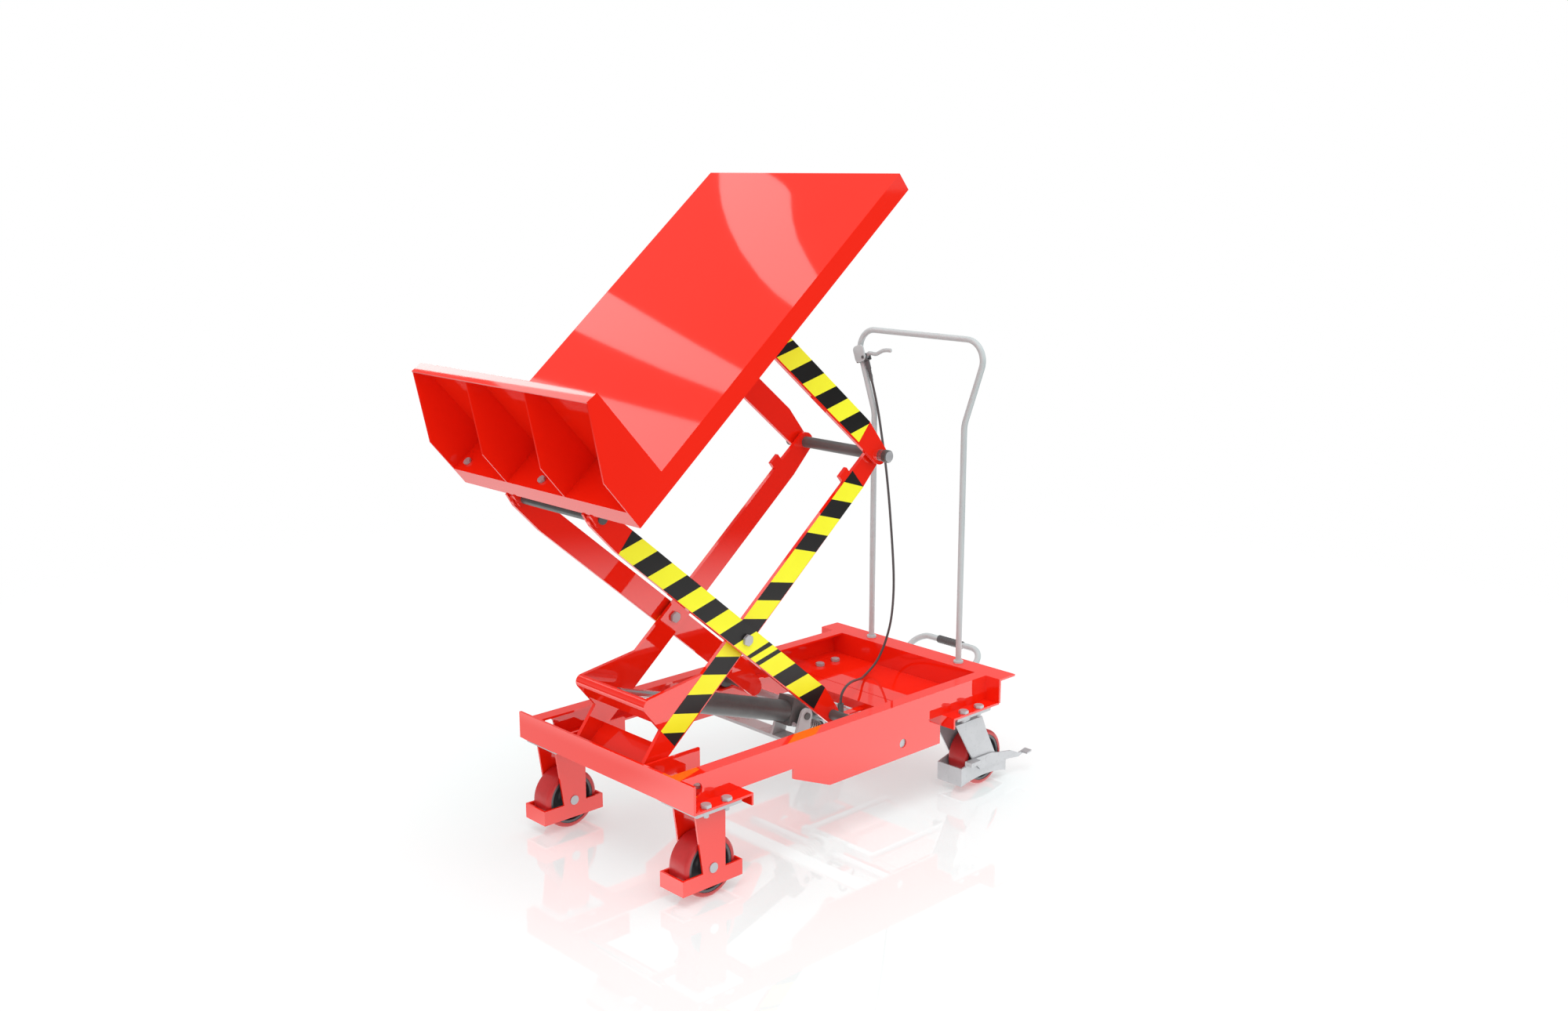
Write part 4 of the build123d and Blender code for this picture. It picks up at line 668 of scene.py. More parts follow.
    @staticmethod
    def bevelled(piece: bpy.types.Object, width: float, segments: int = 2) -> bpy.types.Object:
        """Rounds a piece's sharp edges.

        Args:
            piece: Piece to round.
            width: Width of the rounding.
            segments: Steps across it.

        Returns:
            The same piece.
        """
        sharp = math.radians(35.0)
        settings = {"width": width * MILLI, "segments": segments, "limit_method": "ANGLE", "angle_limit": sharp}
        return Bench.modified(piece, "BEVEL", settings)

    @staticmethod
    def smoothed(piece: bpy.types.Object, angle: float = 40.0) -> bpy.types.Object:
        """Shades a piece smooth up to an angle between faces, and returns it."""
        Bench.only(piece)
        bpy.ops.object.shade_smooth_by_angle(angle=math.radians(angle))
        return piece

    @staticmethod
    def joined(name: str, pieces: Sequence[bpy.types.Object]) -> bpy.types.Object:
        """Joins pieces into one.

        Args:
            name: Name of the joined piece.
            pieces: Pieces that go into it.

        Returns:
            The joined piece.
        """
        Bench.only(pieces[0])
        for piece in pieces:
            piece.select_set(True)
        if len(pieces) > 1:
            bpy.ops.object.join()
        pieces[0].name = name
        return pieces[0]

    @staticmethod
    def scattered(template: bpy.types.Object, places: Iterable[Matrix], name: str) -> bpy.types.Object:
        """Copies a template to each place and joins the copies.

        Args:
            template: Piece to copy, on the origin.
            places: Where the copies go.
            name: Name of the joined piece.

        Returns:
            The joined piece.
        """
        made = []
        for place in places:
            copy = template.copy()
            copy.data = template.data.copy()
            bpy.context.collection.objects.link(copy)
            made.append(Bench.settle(copy, place))
        bpy.data.objects.remove(template)
        return Bench.joined(name, made)

    @staticmethod
    def hex_head(name: str, across: float, height: float) -> bpy.types.Object:
        """Makes a hexagon head with its turned chamfer and washer face.

        Args:
            name: Name of the piece.
            across: Width across the flats.
            height: Height of the head.

        Returns:
            The head, standing on the origin.
        """
        inner, outer = 0.475 * across, 0.65 * across  # radii of the washer face and beyond the corners
        drop = (outer - inner) * math.tan(math.radians(30.0))
        crown = Bench.turned("crown", [(outer, 0.4), (outer, height - drop), (inner, height)])
        Bench.clear()
        bpy.ops.mesh.primitive_cylinder_add(
            vertices=6,
            radius=across / math.sqrt(3.0) * MILLI,
            depth=height * MILLI,
            location=(0.0, 0.0, height / 2 * MILLI),
        )
        head = bpy.context.object
        Bench.settle(head, Matrix.Identity(4))
        Bench.trimmed(head, crown, "INTERSECT")
        face = Bench.turned("washer_face", [(inner, 0.0), (inner, 0.5)])
        return Bench.joined(name, [head, face])

    @staticmethod
    def upright(point: Vector, direction: Vector) -> Matrix:
        """Gives the move that stands a turned piece on a point.

        Args:
            point: Where the piece's origin goes, in metres.
            direction: Where its axis points.

        Returns:
            The move.
        """
        turn = UP.rotation_difference(direction.normalized())
        return Matrix.Translation(point) @ turn.to_matrix().to_4x4()

    @staticmethod
    def sideways(point: tuple[float, float], y: float, direction: float) -> Matrix:
        """Gives the move that stands a turned piece across the table.

        Args:
            point: Where its axis crosses the side view.
            y: Where its origin is, to the right of the middle.
            direction: 1 for an axis that points right, -1 for left.

        Returns:
            The move.
        """
        return Bench.upright(at(point[0], y, point[1]), Vector((0.0, direction, 0.0)))


def dressed(
    piece: bpy.types.Object, coats: Sequence[Coat], body: str, nodes: Sequence[str] = ()
) -> bpy.types.Object:
    """Gives a finished piece its materials and its body, and hides the nodes that it stands for.

    Args:
        piece: Finished piece.
        coats: Its finishes, by material index.
        body: Body that it rides on.
        nodes: Nodes of the frame that it replaces.

    Returns:
        The same piece.
    """
    for coat in coats:
        piece.data.materials.append(coat.material())
    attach(piece, body)
    if nodes:
        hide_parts(*nodes)
    LOG.info("piece %s on %s", piece.name, body)
    return piece


# ---------------------------------------------------------------- sub-assemblies


@dataclass
class PlainParts:
    """The frame's own nodes, which keep their shapes and get their finishes."""

    nodes: dict[str, bpy.types.Object]
    record: dict

    def dress(self) -> None:
        """Puts each node's finish on it, by its slot or its own name."""
        slots = {part["node"]: part["material_slot"] for part in self.record["subparts"]}
        for name, node in self.nodes.items():
            coat = NODE_COATS.get(name, SLOT_COATS[slots[name]])
            node.data.materials.clear()
            node.data.materials.append(coat.material())
            for polygon in node.data.polygons:
                polygon.material_index = 0
        LOG.info("dressed %d nodes", len(self.nodes))


@dataclass
class Wheels:
    """Four caster wheels: a polyurethane tyre on a nylon rim."""

    radius: float = 56.0
    rim: float = 47.0
    half_width: float = 23.0
    bore: float = 6.1
    hub: float = 17.0
    axle_height: float = -167.5
    axles: tuple[tuple[str, float], ...] = (("front", 60.0), ("rear", 782.0))
    track: float = 198.0

    def tyre(self) -> bpy.types.Object:
        """Makes the tyre with its rounded shoulders.

        Returns:
            The tyre, its axis on the origin.
        """
        r, rim, half = self.radius, self.rim + 0.05, self.half_width
        side = [(rim, -half), (r - 5.5, -half), (r - 3.0, -half + 0.6), (r - 1.2, -half + 2.0)]
        side += [(r - 0.3, -half + 4.0), (r, -half + 6.0)]
        profile = side + [(radius, -height) for radius, height in reversed(side)]
        return Bench.smoothed(Bench.turned("tyre", [*profile, profile[0]], 72, True), 50.0)

    def dish(self) -> bpy.types.Object:
        """Makes the rim with its lip, dished web and hub.

        Returns:
            The rim, its axis on the origin.
        """
        rim, half, hub = self.rim, self.half_width - 1.0, self.hub
        side = [
            (self.bore, -half - 1.0), (hub - 2.0, -half - 1.0), (hub, -half + 1.0), (hub, -9.0),
            (hub + 3.0, -6.0), (rim - 9.0, -6.0), (rim - 6.0, -9.0), (rim - 5.6, -half + 0.8),
            (rim - 4.8, -half), (rim, -half),
        ]
        profile = side + [(radius, -height) for radius, height in reversed(side)]
        return Bench.smoothed(Bench.turned("rim", [*profile, profile[0]], 72, True), 35.0)

    def build(self) -> None:
        """Builds the four wheels on their axles."""
        for end, x in self.axles:
            for side, hand in zip(SIDES, ("left", "right")):
                place = Bench.sideways((x, self.axle_height), side * self.track, 1)
                body, node = f"{end}_{hand}", f"{end}_wheel_{hand}"
                dressed(Bench.settle(self.tyre(), place), [Coat.TYRE], body, [node]).name = f"tyre_{body}"
                dressed(Bench.settle(self.dish(), place), [Coat.RIM], body).name = f"rim_{body}"


@dataclass
class BoltWork:
    """Hexagon bolts of the casters, the centre pivots and the ledge pockets.

    Attributes:
        casters: Middles of the front and the rear casters, behind the front plate.
        track: Their distance from the middle.
        spacing: Half the distance between a caster's bolts, along and across.
        plate_seat: Height at which a head stands on a caster tab.
        tray_seat: Height at which a head stands on the rear tray.
        caster_head: Width across the flats and height of a caster bolt's head.
        pivot_head: The same of a centre bolt's head and nut.
        pivot_faces: Seat of the nut and of the head, from the middle.
        pivot_radius: Radius of a centre bolt's shank.
        pocket_head: Width across the flats and height of a pocket bolt's head.
        pocket_along: Place of the pocket bolts along the deck.
        pocket_across: Their places across it.
    """

    casters: tuple[float, float] = (61.0, 722.0)
    track: float = 198.0
    spacing: tuple[float, float] = (23.0, 38.0)
    plate_seat: float = -50.0
    tray_seat: float = -47.0
    caster_head: tuple[float, float] = (17.0, 6.4)
    pivot_head: tuple[float, float] = (19.0, 6.0)
    pivot_faces: tuple[float, float] = (89.0, 112.15)
    pivot_radius: float = 6.0
    pocket_head: tuple[float, float] = (13.0, 5.0)
    pocket_along: float = -66.0
    pocket_across: tuple[float, ...] = (-222.0, 0.0, 222.0)

    def caster_places(self) -> list[Matrix]:
        """Gives where the caster bolts' heads stand, each turned its own way.

        Returns:
            One move for each bolt.
        """
        places = []
        for x, hand, along, across in itertools.product(self.casters, SIDES, SIDES, SIDES):
            y, dx, dy = hand * self.track, along * self.spacing[0], across * self.spacing[1]
            on_tray = x == self.casters[1] and across != hand
            seat = self.tray_seat if on_tray else self.plate_seat
            turn = Matrix.Rotation(math.radians(17.0 * dx + 11.0 * dy + x), 4, "Z")
            places.append(Matrix.Translation(at(x + dx, y + dy, seat)) @ turn)
        return places

    def caster_bolts(self) -> None:
        """Builds the sixteen caster bolts."""
        head = Bench.hex_head("caster_head", *self.caster_head)
        shank = Bench.turned("caster_shank", [(4.0, -18.0), (5.0, -17.0), (5.0, 0.2)], 24)
        bolt = Bench.joined("caster_bolt", [head, shank])
        bolts = Bench.smoothed(Bench.scattered(bolt, self.caster_places(), "caster_bolt_set"), 30.0)
        dressed(bolts, [Coat.ZINC], "chassis", ["caster_bolts"])

    def centre_bolts(self) -> None:
        """Builds the two centre bolts with their nuts."""
        inner, outer = self.pivot_faces
        outward = [Bench.sideways(CENTRE, side * outer, side) for side in SIDES]
        heads = Bench.scattered(Bench.hex_head("pivot_head", *self.pivot_head), outward, "pivot_heads")
        inward = [Bench.sideways(CENTRE, side * inner, -side) for side in SIDES]
        nuts = Bench.scattered(Bench.hex_head("pivot_nut", *self.pivot_head), inward, "pivot_nuts")
        shank = Bench.turned("pivot_shank", [(self.pivot_radius, 0.0), (self.pivot_radius, 23.4)], 32)
        through = [Bench.sideways(CENTRE, side * inner, side) for side in SIDES]
        shanks = Bench.scattered(shank, through, "pivot_shanks")
        pivot = Bench.smoothed(Bench.joined("centre_bolt_set", [heads, nuts, shanks]), 30.0)
        dressed(pivot, [Coat.ZINC], "inner_arms", ["centre_bolts"])

    def pocket_bolts(self) -> None:
        """Builds the bolts in the ledge's pockets, which stand square to the deck."""
        turn = Matrix.Rotation(math.radians(-ARM_ANGLE), 4, "Y")
        x, z = step_from(DECK, ARM_ANGLE, self.pocket_along, 0.0)
        places = [Matrix.Translation(at(x, y, z)) @ turn for y in self.pocket_across]
        heads = Bench.scattered(Bench.hex_head("pocket_head", *self.pocket_head), places, "pocket_bolt_set")
        dressed(Bench.smoothed(heads, 30.0), [Coat.ZINC], "table", ["pocket_bolts"])

    def build(self) -> None:
        """Builds all bolts."""
        self.caster_bolts()
        self.centre_bolts()
        self.pocket_bolts()


@dataclass(frozen=True)
class Tape:
    """Slanted black and yellow tape along one pair of arms.

    Attributes:
        name: Name of the tape.
        body: Body that the arm belongs to.
        pivot: Origin of the arm's own measure.
        angle: Direction of the arm.
        rise: Side of the arm that counts as upper: 1 is left of its direction.
        face: Distance of the arm's outer face from the middle.
        span: Upper and lower edge across the arm.
        reach: Both ends along the arm.
        cuts: Where each colour ends on the upper and the lower edge, from the far end down.
        joints: Numbers of the cuts at which the colour stays.
        starts_black: Whether the far end is black.
        thickness: Thickness of the tape.
        gap: Gap between the arm and the tape.
    """

    name: str
    body: str
    pivot: tuple[float, float]
    angle: float
    rise: int
    face: float
    span: tuple[float, float]
    reach: tuple[float, float]
    cuts: tuple[tuple[float, float], ...]
    joints: tuple[int, ...] = ()
    starts_black: bool = True
    thickness: float = 0.25
    gap: float = 0.02

    def build(self, side: int) -> bpy.types.Object:
        """Makes one tape.

        Args:
            side: -1 for the left arm, 1 for the right one.

        Returns:
            The tape.
        """
        upper, lower = self.span
        start, end = self.reach
        Bench.clear()
        bpy.ops.mesh.primitive_plane_add(size=1.0)
        tape = bpy.context.object
        tape.name = f"{self.name}_{'left' if side < 0 else 'right'}"
        bpy.ops.object.mode_set(mode="EDIT")
        bpy.ops.mesh.select_all(action="SELECT")
        bpy.ops.transform.resize(value=((start - end) * MILLI, (upper - lower) * MILLI, 1.0))
        bpy.ops.transform.translate(value=((start + end) / 2 * MILLI, (upper + lower) / 2 * MILLI, 0.0))
        for high, low in self.cuts:
            bpy.ops.mesh.select_all(action="SELECT")
            normal = Vector((upper - lower, low - high, 0.0)).normalized()
            bpy.ops.mesh.bisect(plane_co=(high * MILLI, upper * MILLI, 0.0), plane_no=normal)
        bpy.ops.object.mode_set(mode="OBJECT")
        for face in tape.data.polygons:
            along, up = face.center.x / MILLI, face.center.y / MILLI
            share = (up - lower) / (upper - lower)
            passed = [n for n, (high, low) in enumerate(self.cuts) if along < low + (high - low) * share]
            changes = sum(1 for n in passed if n not in self.joints)
            face.material_index = (changes + (0 if self.starts_black else 1)) % 2
        Bench.modified(tape, "SOLIDIFY", {"thickness": self.thickness * MILLI, "offset": 1.0})
        c, s = math.cos(math.radians(self.angle)), math.sin(math.radians(self.angle))
        origin = at(self.pivot[0], side * (self.face + self.gap), self.pivot[1])
        axes = Matrix(((c, -s * self.rise, 0.0), (0.0, 0.0, side), (s, c * self.rise, 0.0))).to_4x4()
        return Bench.tidy(Bench.settle(tape, Matrix.Translation(origin) @ axes))


@dataclass
class HazardTapes:
    """The tapes on the outer faces of the six arms."""

    tapes: tuple[Tape, ...] = (
        Tape(
            "inner_arm_tape", "inner_arms", CENTRE, ARM_ANGLE, 1, INNER_FACE, (23.0, -23.0), (387.0, -225.0),
            (
                (358.1, 387.5), (315.0, 346.2), (274.5, 305.5), (233.0, 263.8), (192.3, 223.4), (155.0, 189.0),
                (112.6, 149.3), (70.0, 106.6), (26.4, 62.9), (-17.5, 19.0), (-60.5, -24.7), (-101.1, -65.6),
                (-145.8, -109.7), (-187.8, -152.3), (-230.0, -194.5),
            ),
            (5,),
        ),
        Tape(
            "outer_arm_tape", "outer_arms", CENTRE, OUTER_ANGLE, -1, OUTER_FACE, (23.0, -23.0), (346.8, -238.0),
            (
                (319.9, 350.5), (279.5, 309.5), (239.0, 270.1), (197.0, 227.8), (156.8, 187.7), (114.1, 145.5),
                (74.8, 106.1), (33.2, 64.2), (-9.9, 21.9), (-50.4, -19.1), (-62.3, -28.9), (-78.7, -45.1),
                (-90.0, -56.6), (-136.1, -101.4), (-179.1, -142.8), (-226.3, -187.6),
            ),
        ),
        Tape(
            "upper_arm_tape", "upper_arms", ELBOW, OUTER_ANGLE, -1, OUTER_FACE, (32.3, -13.5), (351.0, 66.0),
            (
                (325.7, 357.0), (306.1, 338.1), (265.1, 296.5), (224.3, 256.5), (183.5, 216.0), (143.9, 175.6),
                (101.9, 134.1), (62.5, 94.4),
            ),
            starts_black=False,
        ),
    )

    def build(self) -> None:
        """Builds all tapes on both sides."""
        for tape, side in itertools.product(self.tapes, SIDES):
            dressed(tape.build(side), [Coat.STRIPE, Coat.YELLOW], tape.body)


@dataclass
class ElbowEnds:
    """The caps on the elbow shaft and the spacer rings between the arms.

    Attributes:
        face: Where the cap's washer starts, from the middle.
        end: Where the cap's head ends.
        bore: Radius of the hole for the elbow shaft.
        centre_bore: Radius of the hole for a centre bolt.
        neck: Inner and outer radius of the grooved neck.
        head: Radius of the head.
        space: Both faces of a spacer ring.
    """

    face: float = 112.1
    end: float = 135.0
    bore: float = 8.05
    centre_bore: float = 6.05
    neck: tuple[float, float] = (9.2, 10.4)
    head: float = 12.0
    space: tuple[float, float] = (97.1, 103.9)

    def cap(self) -> bpy.types.Object:
        """Makes one cap: a washer, a grooved neck and a chamfered head with a bright face.

        Returns:
            The cap, its axis on the origin, with the steel, chrome and zinc parts of it marked.
        """
        bore, face, end, (inner, outer) = self.bore, self.face, self.end, self.neck
        profile = [(bore, face), (11.0, face), (11.0, face + 1.6)]
        for n in range(4):
            low = face + 1.6 + n * 2.0
            profile += [(inner, low), (inner, low + 0.6), (outer, low + 0.8), (outer, low + 1.8)]
        profile += [(outer, face + 10.0), (11.3, face + 10.2), (self.head, face + 11.0)]
        profile += [(self.head, end - 1.8), (10.4, end), (9.6, end + 0.2), (bore, end + 0.2)]
        cap = Bench.turned("cap", [*profile, profile[0]], 56, True)
        plug = Bench.turned("face", [(8.3, end - 0.2), (8.3, end + 0.25), (7.4, end + 0.5)], 56)
        cap = Bench.joined("cap", [cap, plug])
        for polygon in cap.data.polygons:
            height, across = polygon.center.z / MILLI, math.hypot(*polygon.center.xy) / MILLI
            if height > end - 0.1 and across < 10.2:
                polygon.material_index = 2
            elif height < face + 10.1:
                polygon.material_index = 1
        return cap

    def ring(self, bore: float) -> bpy.types.Object:
        """Makes one spacer ring with its chamfered rim.

        Args:
            bore: Radius of its hole.

        Returns:
            The ring, its axis on the origin.
        """
        low, high = self.space
        edge = [(bore, low), (12.4, low), (13.0, low + 0.6), (13.0, high - 0.6), (12.4, high), (bore, high)]
        return Bench.turned("ring", [*edge, edge[0]], 48, True)

    def build(self) -> None:
        """Builds the caps and the rings on both sides."""
        caps, rings = [], []
        for side in SIDES:
            caps.append(Bench.settle(self.cap(), Bench.sideways(ELBOW, 0.0, side)))
            for pivot, bore in ((CENTRE, self.centre_bore), (ELBOW, self.bore)):
                rings.append(Bench.settle(self.ring(bore), Bench.sideways(pivot, 0.0, side)))
        for piece in caps:
            for coat in (Coat.STEEL, Coat.CHROME, Coat.ZINC):
                piece.data.materials.append(coat.material())
        caps = Bench.smoothed(Bench.joined("elbow_caps", caps), 35.0)
        dressed(caps, [], "inner_arms", ["arm_spacers"])
        rings = Bench.smoothed(Bench.joined("arm_rings", rings), 35.0)
        dressed(rings, [Coat.STEEL], "inner_arms")


@dataclass
class ReleaseLine:
    """The release cable from its adjuster on the handle down to the pump.

    Attributes:
        diameter: Diameter of the cable.
        length: Its length, in metres; not used.
        seat: Where the adjuster meets the clamp: inwards and up the post.
        sleeve_length: How far below that the cable leaves the adjuster.
        straight: Length of the straight stretch after it.
        route: Points that the cable runs past.
        sleeve: Radius and height of each step of the adjuster.
        nut: Width across the flats and height of its nut.
        nut_place: Where the nut stands on it.
    """

    diameter: float = 5.0
    length: float = 0.882
    seat: tuple[float, float] = (13.0, -15.0)
    sleeve_length: float = 22.0
    straight: float = 56.0
    route: tuple[Point, ...] = (
        (813.0, 97.0, 448.0),
        (812.0, 83.0, 385.0),
        (810.0, 71.0, 320.0),
        (808.0, 62.0, 260.0),
        (805.0, 53.0, 204.0),
        (801.0, 45.0, 150.0),
        (796.0, 41.0, 102.0),
        (790.0, 41.0, 58.0),
        (783.0, 46.0, 22.0),
        (772.0, 50.0, -8.0),
        (754.0, 51.0, -30.0),
        (728.0, 47.0, -41.0),
        (697.0, 32.0, -41.0),
        (667.0, 9.0, -32.0),
        (640.0, -9.0, -23.0),
        (612.0, -25.0, -15.0),
        (588.0, -39.0, -9.0),
        (568.0, -50.0, -6.0),
        (551.0, -57.0, -8.0),
        (537.0, -60.0, -20.0),
        (537.0, -60.0, -36.0),
    )

    sleeve: tuple[tuple[float, float], ...] = (
        (2.7, -8.0), (3.1, -7.6), (3.5, 0.0), (4.0, 0.4), (4.0, 6.0), (3.4, 6.3), (3.4, 7.4), (4.0, 7.7),
        (4.0, 9.4), (3.4, 9.7), (3.4, 10.8), (4.0, 11.1), (4.0, 20.0), (4.8, 21.0), (4.8, 35.5),
    )
    nut: tuple[float, float] = (9.0, 4.0)
    nut_place: float = 17.2

    def adjuster(self, exit_point: Vector) -> bpy.types.Object:
        """Makes the cable adjuster with its nut.

        Args:
            exit_point: Where the cable leaves it.

        Returns:
            The adjuster.
        """
        sleeve = Bench.turned("adjuster_sleeve", self.sleeve, 32)
        place = Matrix.Translation(UP * self.nut_place * MILLI)
        nut = Bench.settle(Bench.hex_head("adjuster_nut", *self.nut), place)
        sleeve = Bench.smoothed(Bench.joined("adjuster_sleeve", [sleeve, nut]), 35.0)
        Bench.settle(sleeve, Bench.upright(exit_point, POST.run()))
        return dressed(sleeve, [Coat.BLACK], "chassis", ["cable_adjuster"])

    def build(self) -> None:
        """Builds the cable and its adjuster."""
        exit_point = POST.on_clamp(*self.seat) - POST.run() * self.sleeve_length * MILLI
        start = exit_point - POST.run() * self.straight * MILLI
        points = [exit_point, start, *(at(*point) for point in self.route)]
        cable = Bench.strand("release_line", points, self.diameter / 2, (5, 10))
        dressed(cable, [Coat.JACKET], "chassis", ["release_cable"])
        sleeve = self.adjuster(exit_point)


@dataclass
class LeverWork:
    """The clamp of the release lever and the curved lever in it.

    Attributes:
        hub: Place of the lever's pin in the clamp's frame, inwards and up.
        plate_size: Width and height of the clamp's rounded plate.
        plate_corner: Radius of its corners.
        plate_thickness: Its thickness.
        plate_middle: Its near face forwards, and its middle inwards and up.
        block_corners: Opposite corners of the block round the tube.
        slot_corners: Opposite corners of the lever's slot in it.
        tube_radius: Radius of the block's bore.
        curve: The lever's line as seen from behind: across and height, from the pin to the tip.
        blade_radius: Half the lever's height.
        blade_flatness: Its width as a share of its height.
    """

    hub: tuple[float, float] = (13.0, 7.0)
    plate_size: tuple[float, float] = (29.0, 35.0)
    plate_corner: float = 9.0
    plate_thickness: float = 4.0
    plate_middle: Point = (7.0, 4.5, 16.5)
    block_corners: tuple[Point, Point] = ((-9.0, -10.0, -1.0), (9.0, 19.0, 14.0))
    slot_corners: tuple[Point, Point] = ((-3.4, 7.5, 0.4), (3.4, 25.0, 20.0))
    tube_radius: float = 6.15
    curve: tuple[tuple[float, float], ...] = (
        (146.8, 602.9), (141.0, 610.5), (134.0, 611.5), (126.0, 610.3), (117.0, 610.5), (108.0, 615.5), (99.0, 619.5),
        (89.0, 621.3), (79.5, 621.2),
    )
    blade_radius: float = 4.1
    blade_flatness: float = 0.71

    def plate(self) -> bpy.types.Object:
        """Makes the rounded plate on the front of the clamp.

        Returns:
            The plate, in the clamp's frame.
        """
        Bench.clear()
        bpy.ops.mesh.primitive_plane_add(size=MILLI, location=(0.0, 0.0, 0.0))
        plate = bpy.context.object
        bpy.ops.object.mode_set(mode="EDIT")
        bpy.ops.mesh.select_all(action="SELECT")
        bpy.ops.transform.resize(value=(*self.plate_size, 1.0), center_override=(0.0, 0.0, 0.0))
        bpy.ops.mesh.bevel(offset=self.plate_corner * MILLI, segments=6, affect="VERTICES")
        bpy.ops.mesh.select_all(action="SELECT")
        rise = (0.0, 0.0, self.plate_thickness * MILLI)
        bpy.ops.mesh.extrude_region_move(TRANSFORM_OT_translate={"value": rise})
        bpy.ops.object.mode_set(mode="OBJECT")
        plate = Bench.bevelled(Bench.tidy(plate), 0.7)
        turn = Matrix(((0.0, 0.0, 1.0), (1.0, 0.0, 0.0), (0.0, 1.0, 0.0))).to_4x4()
        return Bench.settle(plate, Matrix.Translation(Vector(self.plate_middle) * MILLI) @ turn)

    @staticmethod
    def box(low: Point, high: Point) -> bpy.types.Object:
        """Makes a box.

        Args:
            low: Its lowest corner.
            high: Its highest corner.

        Returns:
            The box.
        """
        Bench.clear()
        middle = [(a + b) / 2 * MILLI for a, b in zip(low, high)]
        bpy.ops.mesh.primitive_cube_add(size=1.0, location=middle)
        made = bpy.context.object
        bpy.ops.object.mode_set(mode="EDIT")
        bpy.ops.mesh.select_all(action="SELECT")
        size = [(b - a) * MILLI for a, b in zip(low, high)]
        bpy.ops.transform.resize(value=size, center_override=middle)
        bpy.ops.object.mode_set(mode="OBJECT")
        bpy.ops.object.transform_apply(location=True)
        return made

    def block(self) -> bpy.types.Object:
        """Makes the block round the tube, with its bore and the lever's slot.

        Returns:
            The block, in the clamp's frame.
        """
        block = Bench.bevelled(self.box(*self.block_corners), 1.5)
        Bench.clear()
        bpy.ops.mesh.primitive_cylinder_add(vertices=48, radius=self.tube_radius * MILLI, depth=0.1)
        for cutter in (bpy.context.object, self.box(*self.slot_corners)):
            Bench.trimmed(block, cutter, "DIFFERENCE")
        return block

    def blade(self) -> bpy.types.Object:
        """Bends the lever along its curve and gives it its hub and its rounded tip.

        Returns:
            The lever.
        """
        points = [at(POST.x, y, z) for y, z in self.curve]
        blade = Bench.meshed(Bench.strand("blade", points, self.blade_radius, (4, 6)))
        tip = [(2.0, -3.6), (3.6, -2.6), (4.4, -0.7), (4.4, 0.7), (3.6, 2.6), (2.0, 3.6)]
        knob = Bench.turned("knob", tip, 24)
        Bench.settle(knob, Bench.upright(points[-1], Vector((0.0, -1.0, 0.0))))
        blade = Bench.joined("lever_blade", [blade, knob])
        bpy.ops.object.mode_set(mode="EDIT")
        bpy.ops.mesh.select_all(action="SELECT")
        bpy.ops.transform.resize(value=(self.blade_flatness, 1.0, 1.0), center_override=points[-1])
        bpy.ops.object.mode_set(mode="OBJECT")
        ring = [(2.05, -2.9), (4.1, -2.9), (4.6, -2.4), (4.6, 2.4), (4.1, 2.9), (2.05, 2.9)]
        hub = Bench.turned("hub", [*ring, ring[0]], 32, True)
        Bench.settle(hub, Bench.upright(points[0], Vector((1.0, 0.0, 0.0))))
        return Bench.smoothed(Bench.joined("lever_blade", [blade, hub]), 40.0)

    def build(self) -> None:
        """Builds the clamp and the lever."""
        pin = Bench.turned("pin", [(1.95, -11.4), (1.95, 11.0), (3.4, 11.0), (3.4, 11.8), (2.8, 12.4)], 24)
        Bench.settle(pin, Bench.upright(Vector((0.0, *self.hub)) * MILLI, Vector((1.0, 0.0, 0.0))))
        clamp = Bench.joined("clamp_body", [self.block(), pin])
        clamp = Bench.smoothed(Bench.settle(clamp, POST.frame()), 35.0)
        dressed(clamp, [Coat.BLACK], "chassis", ["lever_clamp"])
        plate = self.plate()
        plate.name = "clamp_plate"
        plate = Bench.smoothed(Bench.settle(plate, POST.frame()), 35.0)
        dressed(plate, [Coat.TUBE], "chassis")
        dressed(self.blade(), [Coat.TUBE], "hand_lever", ["release_lever"])


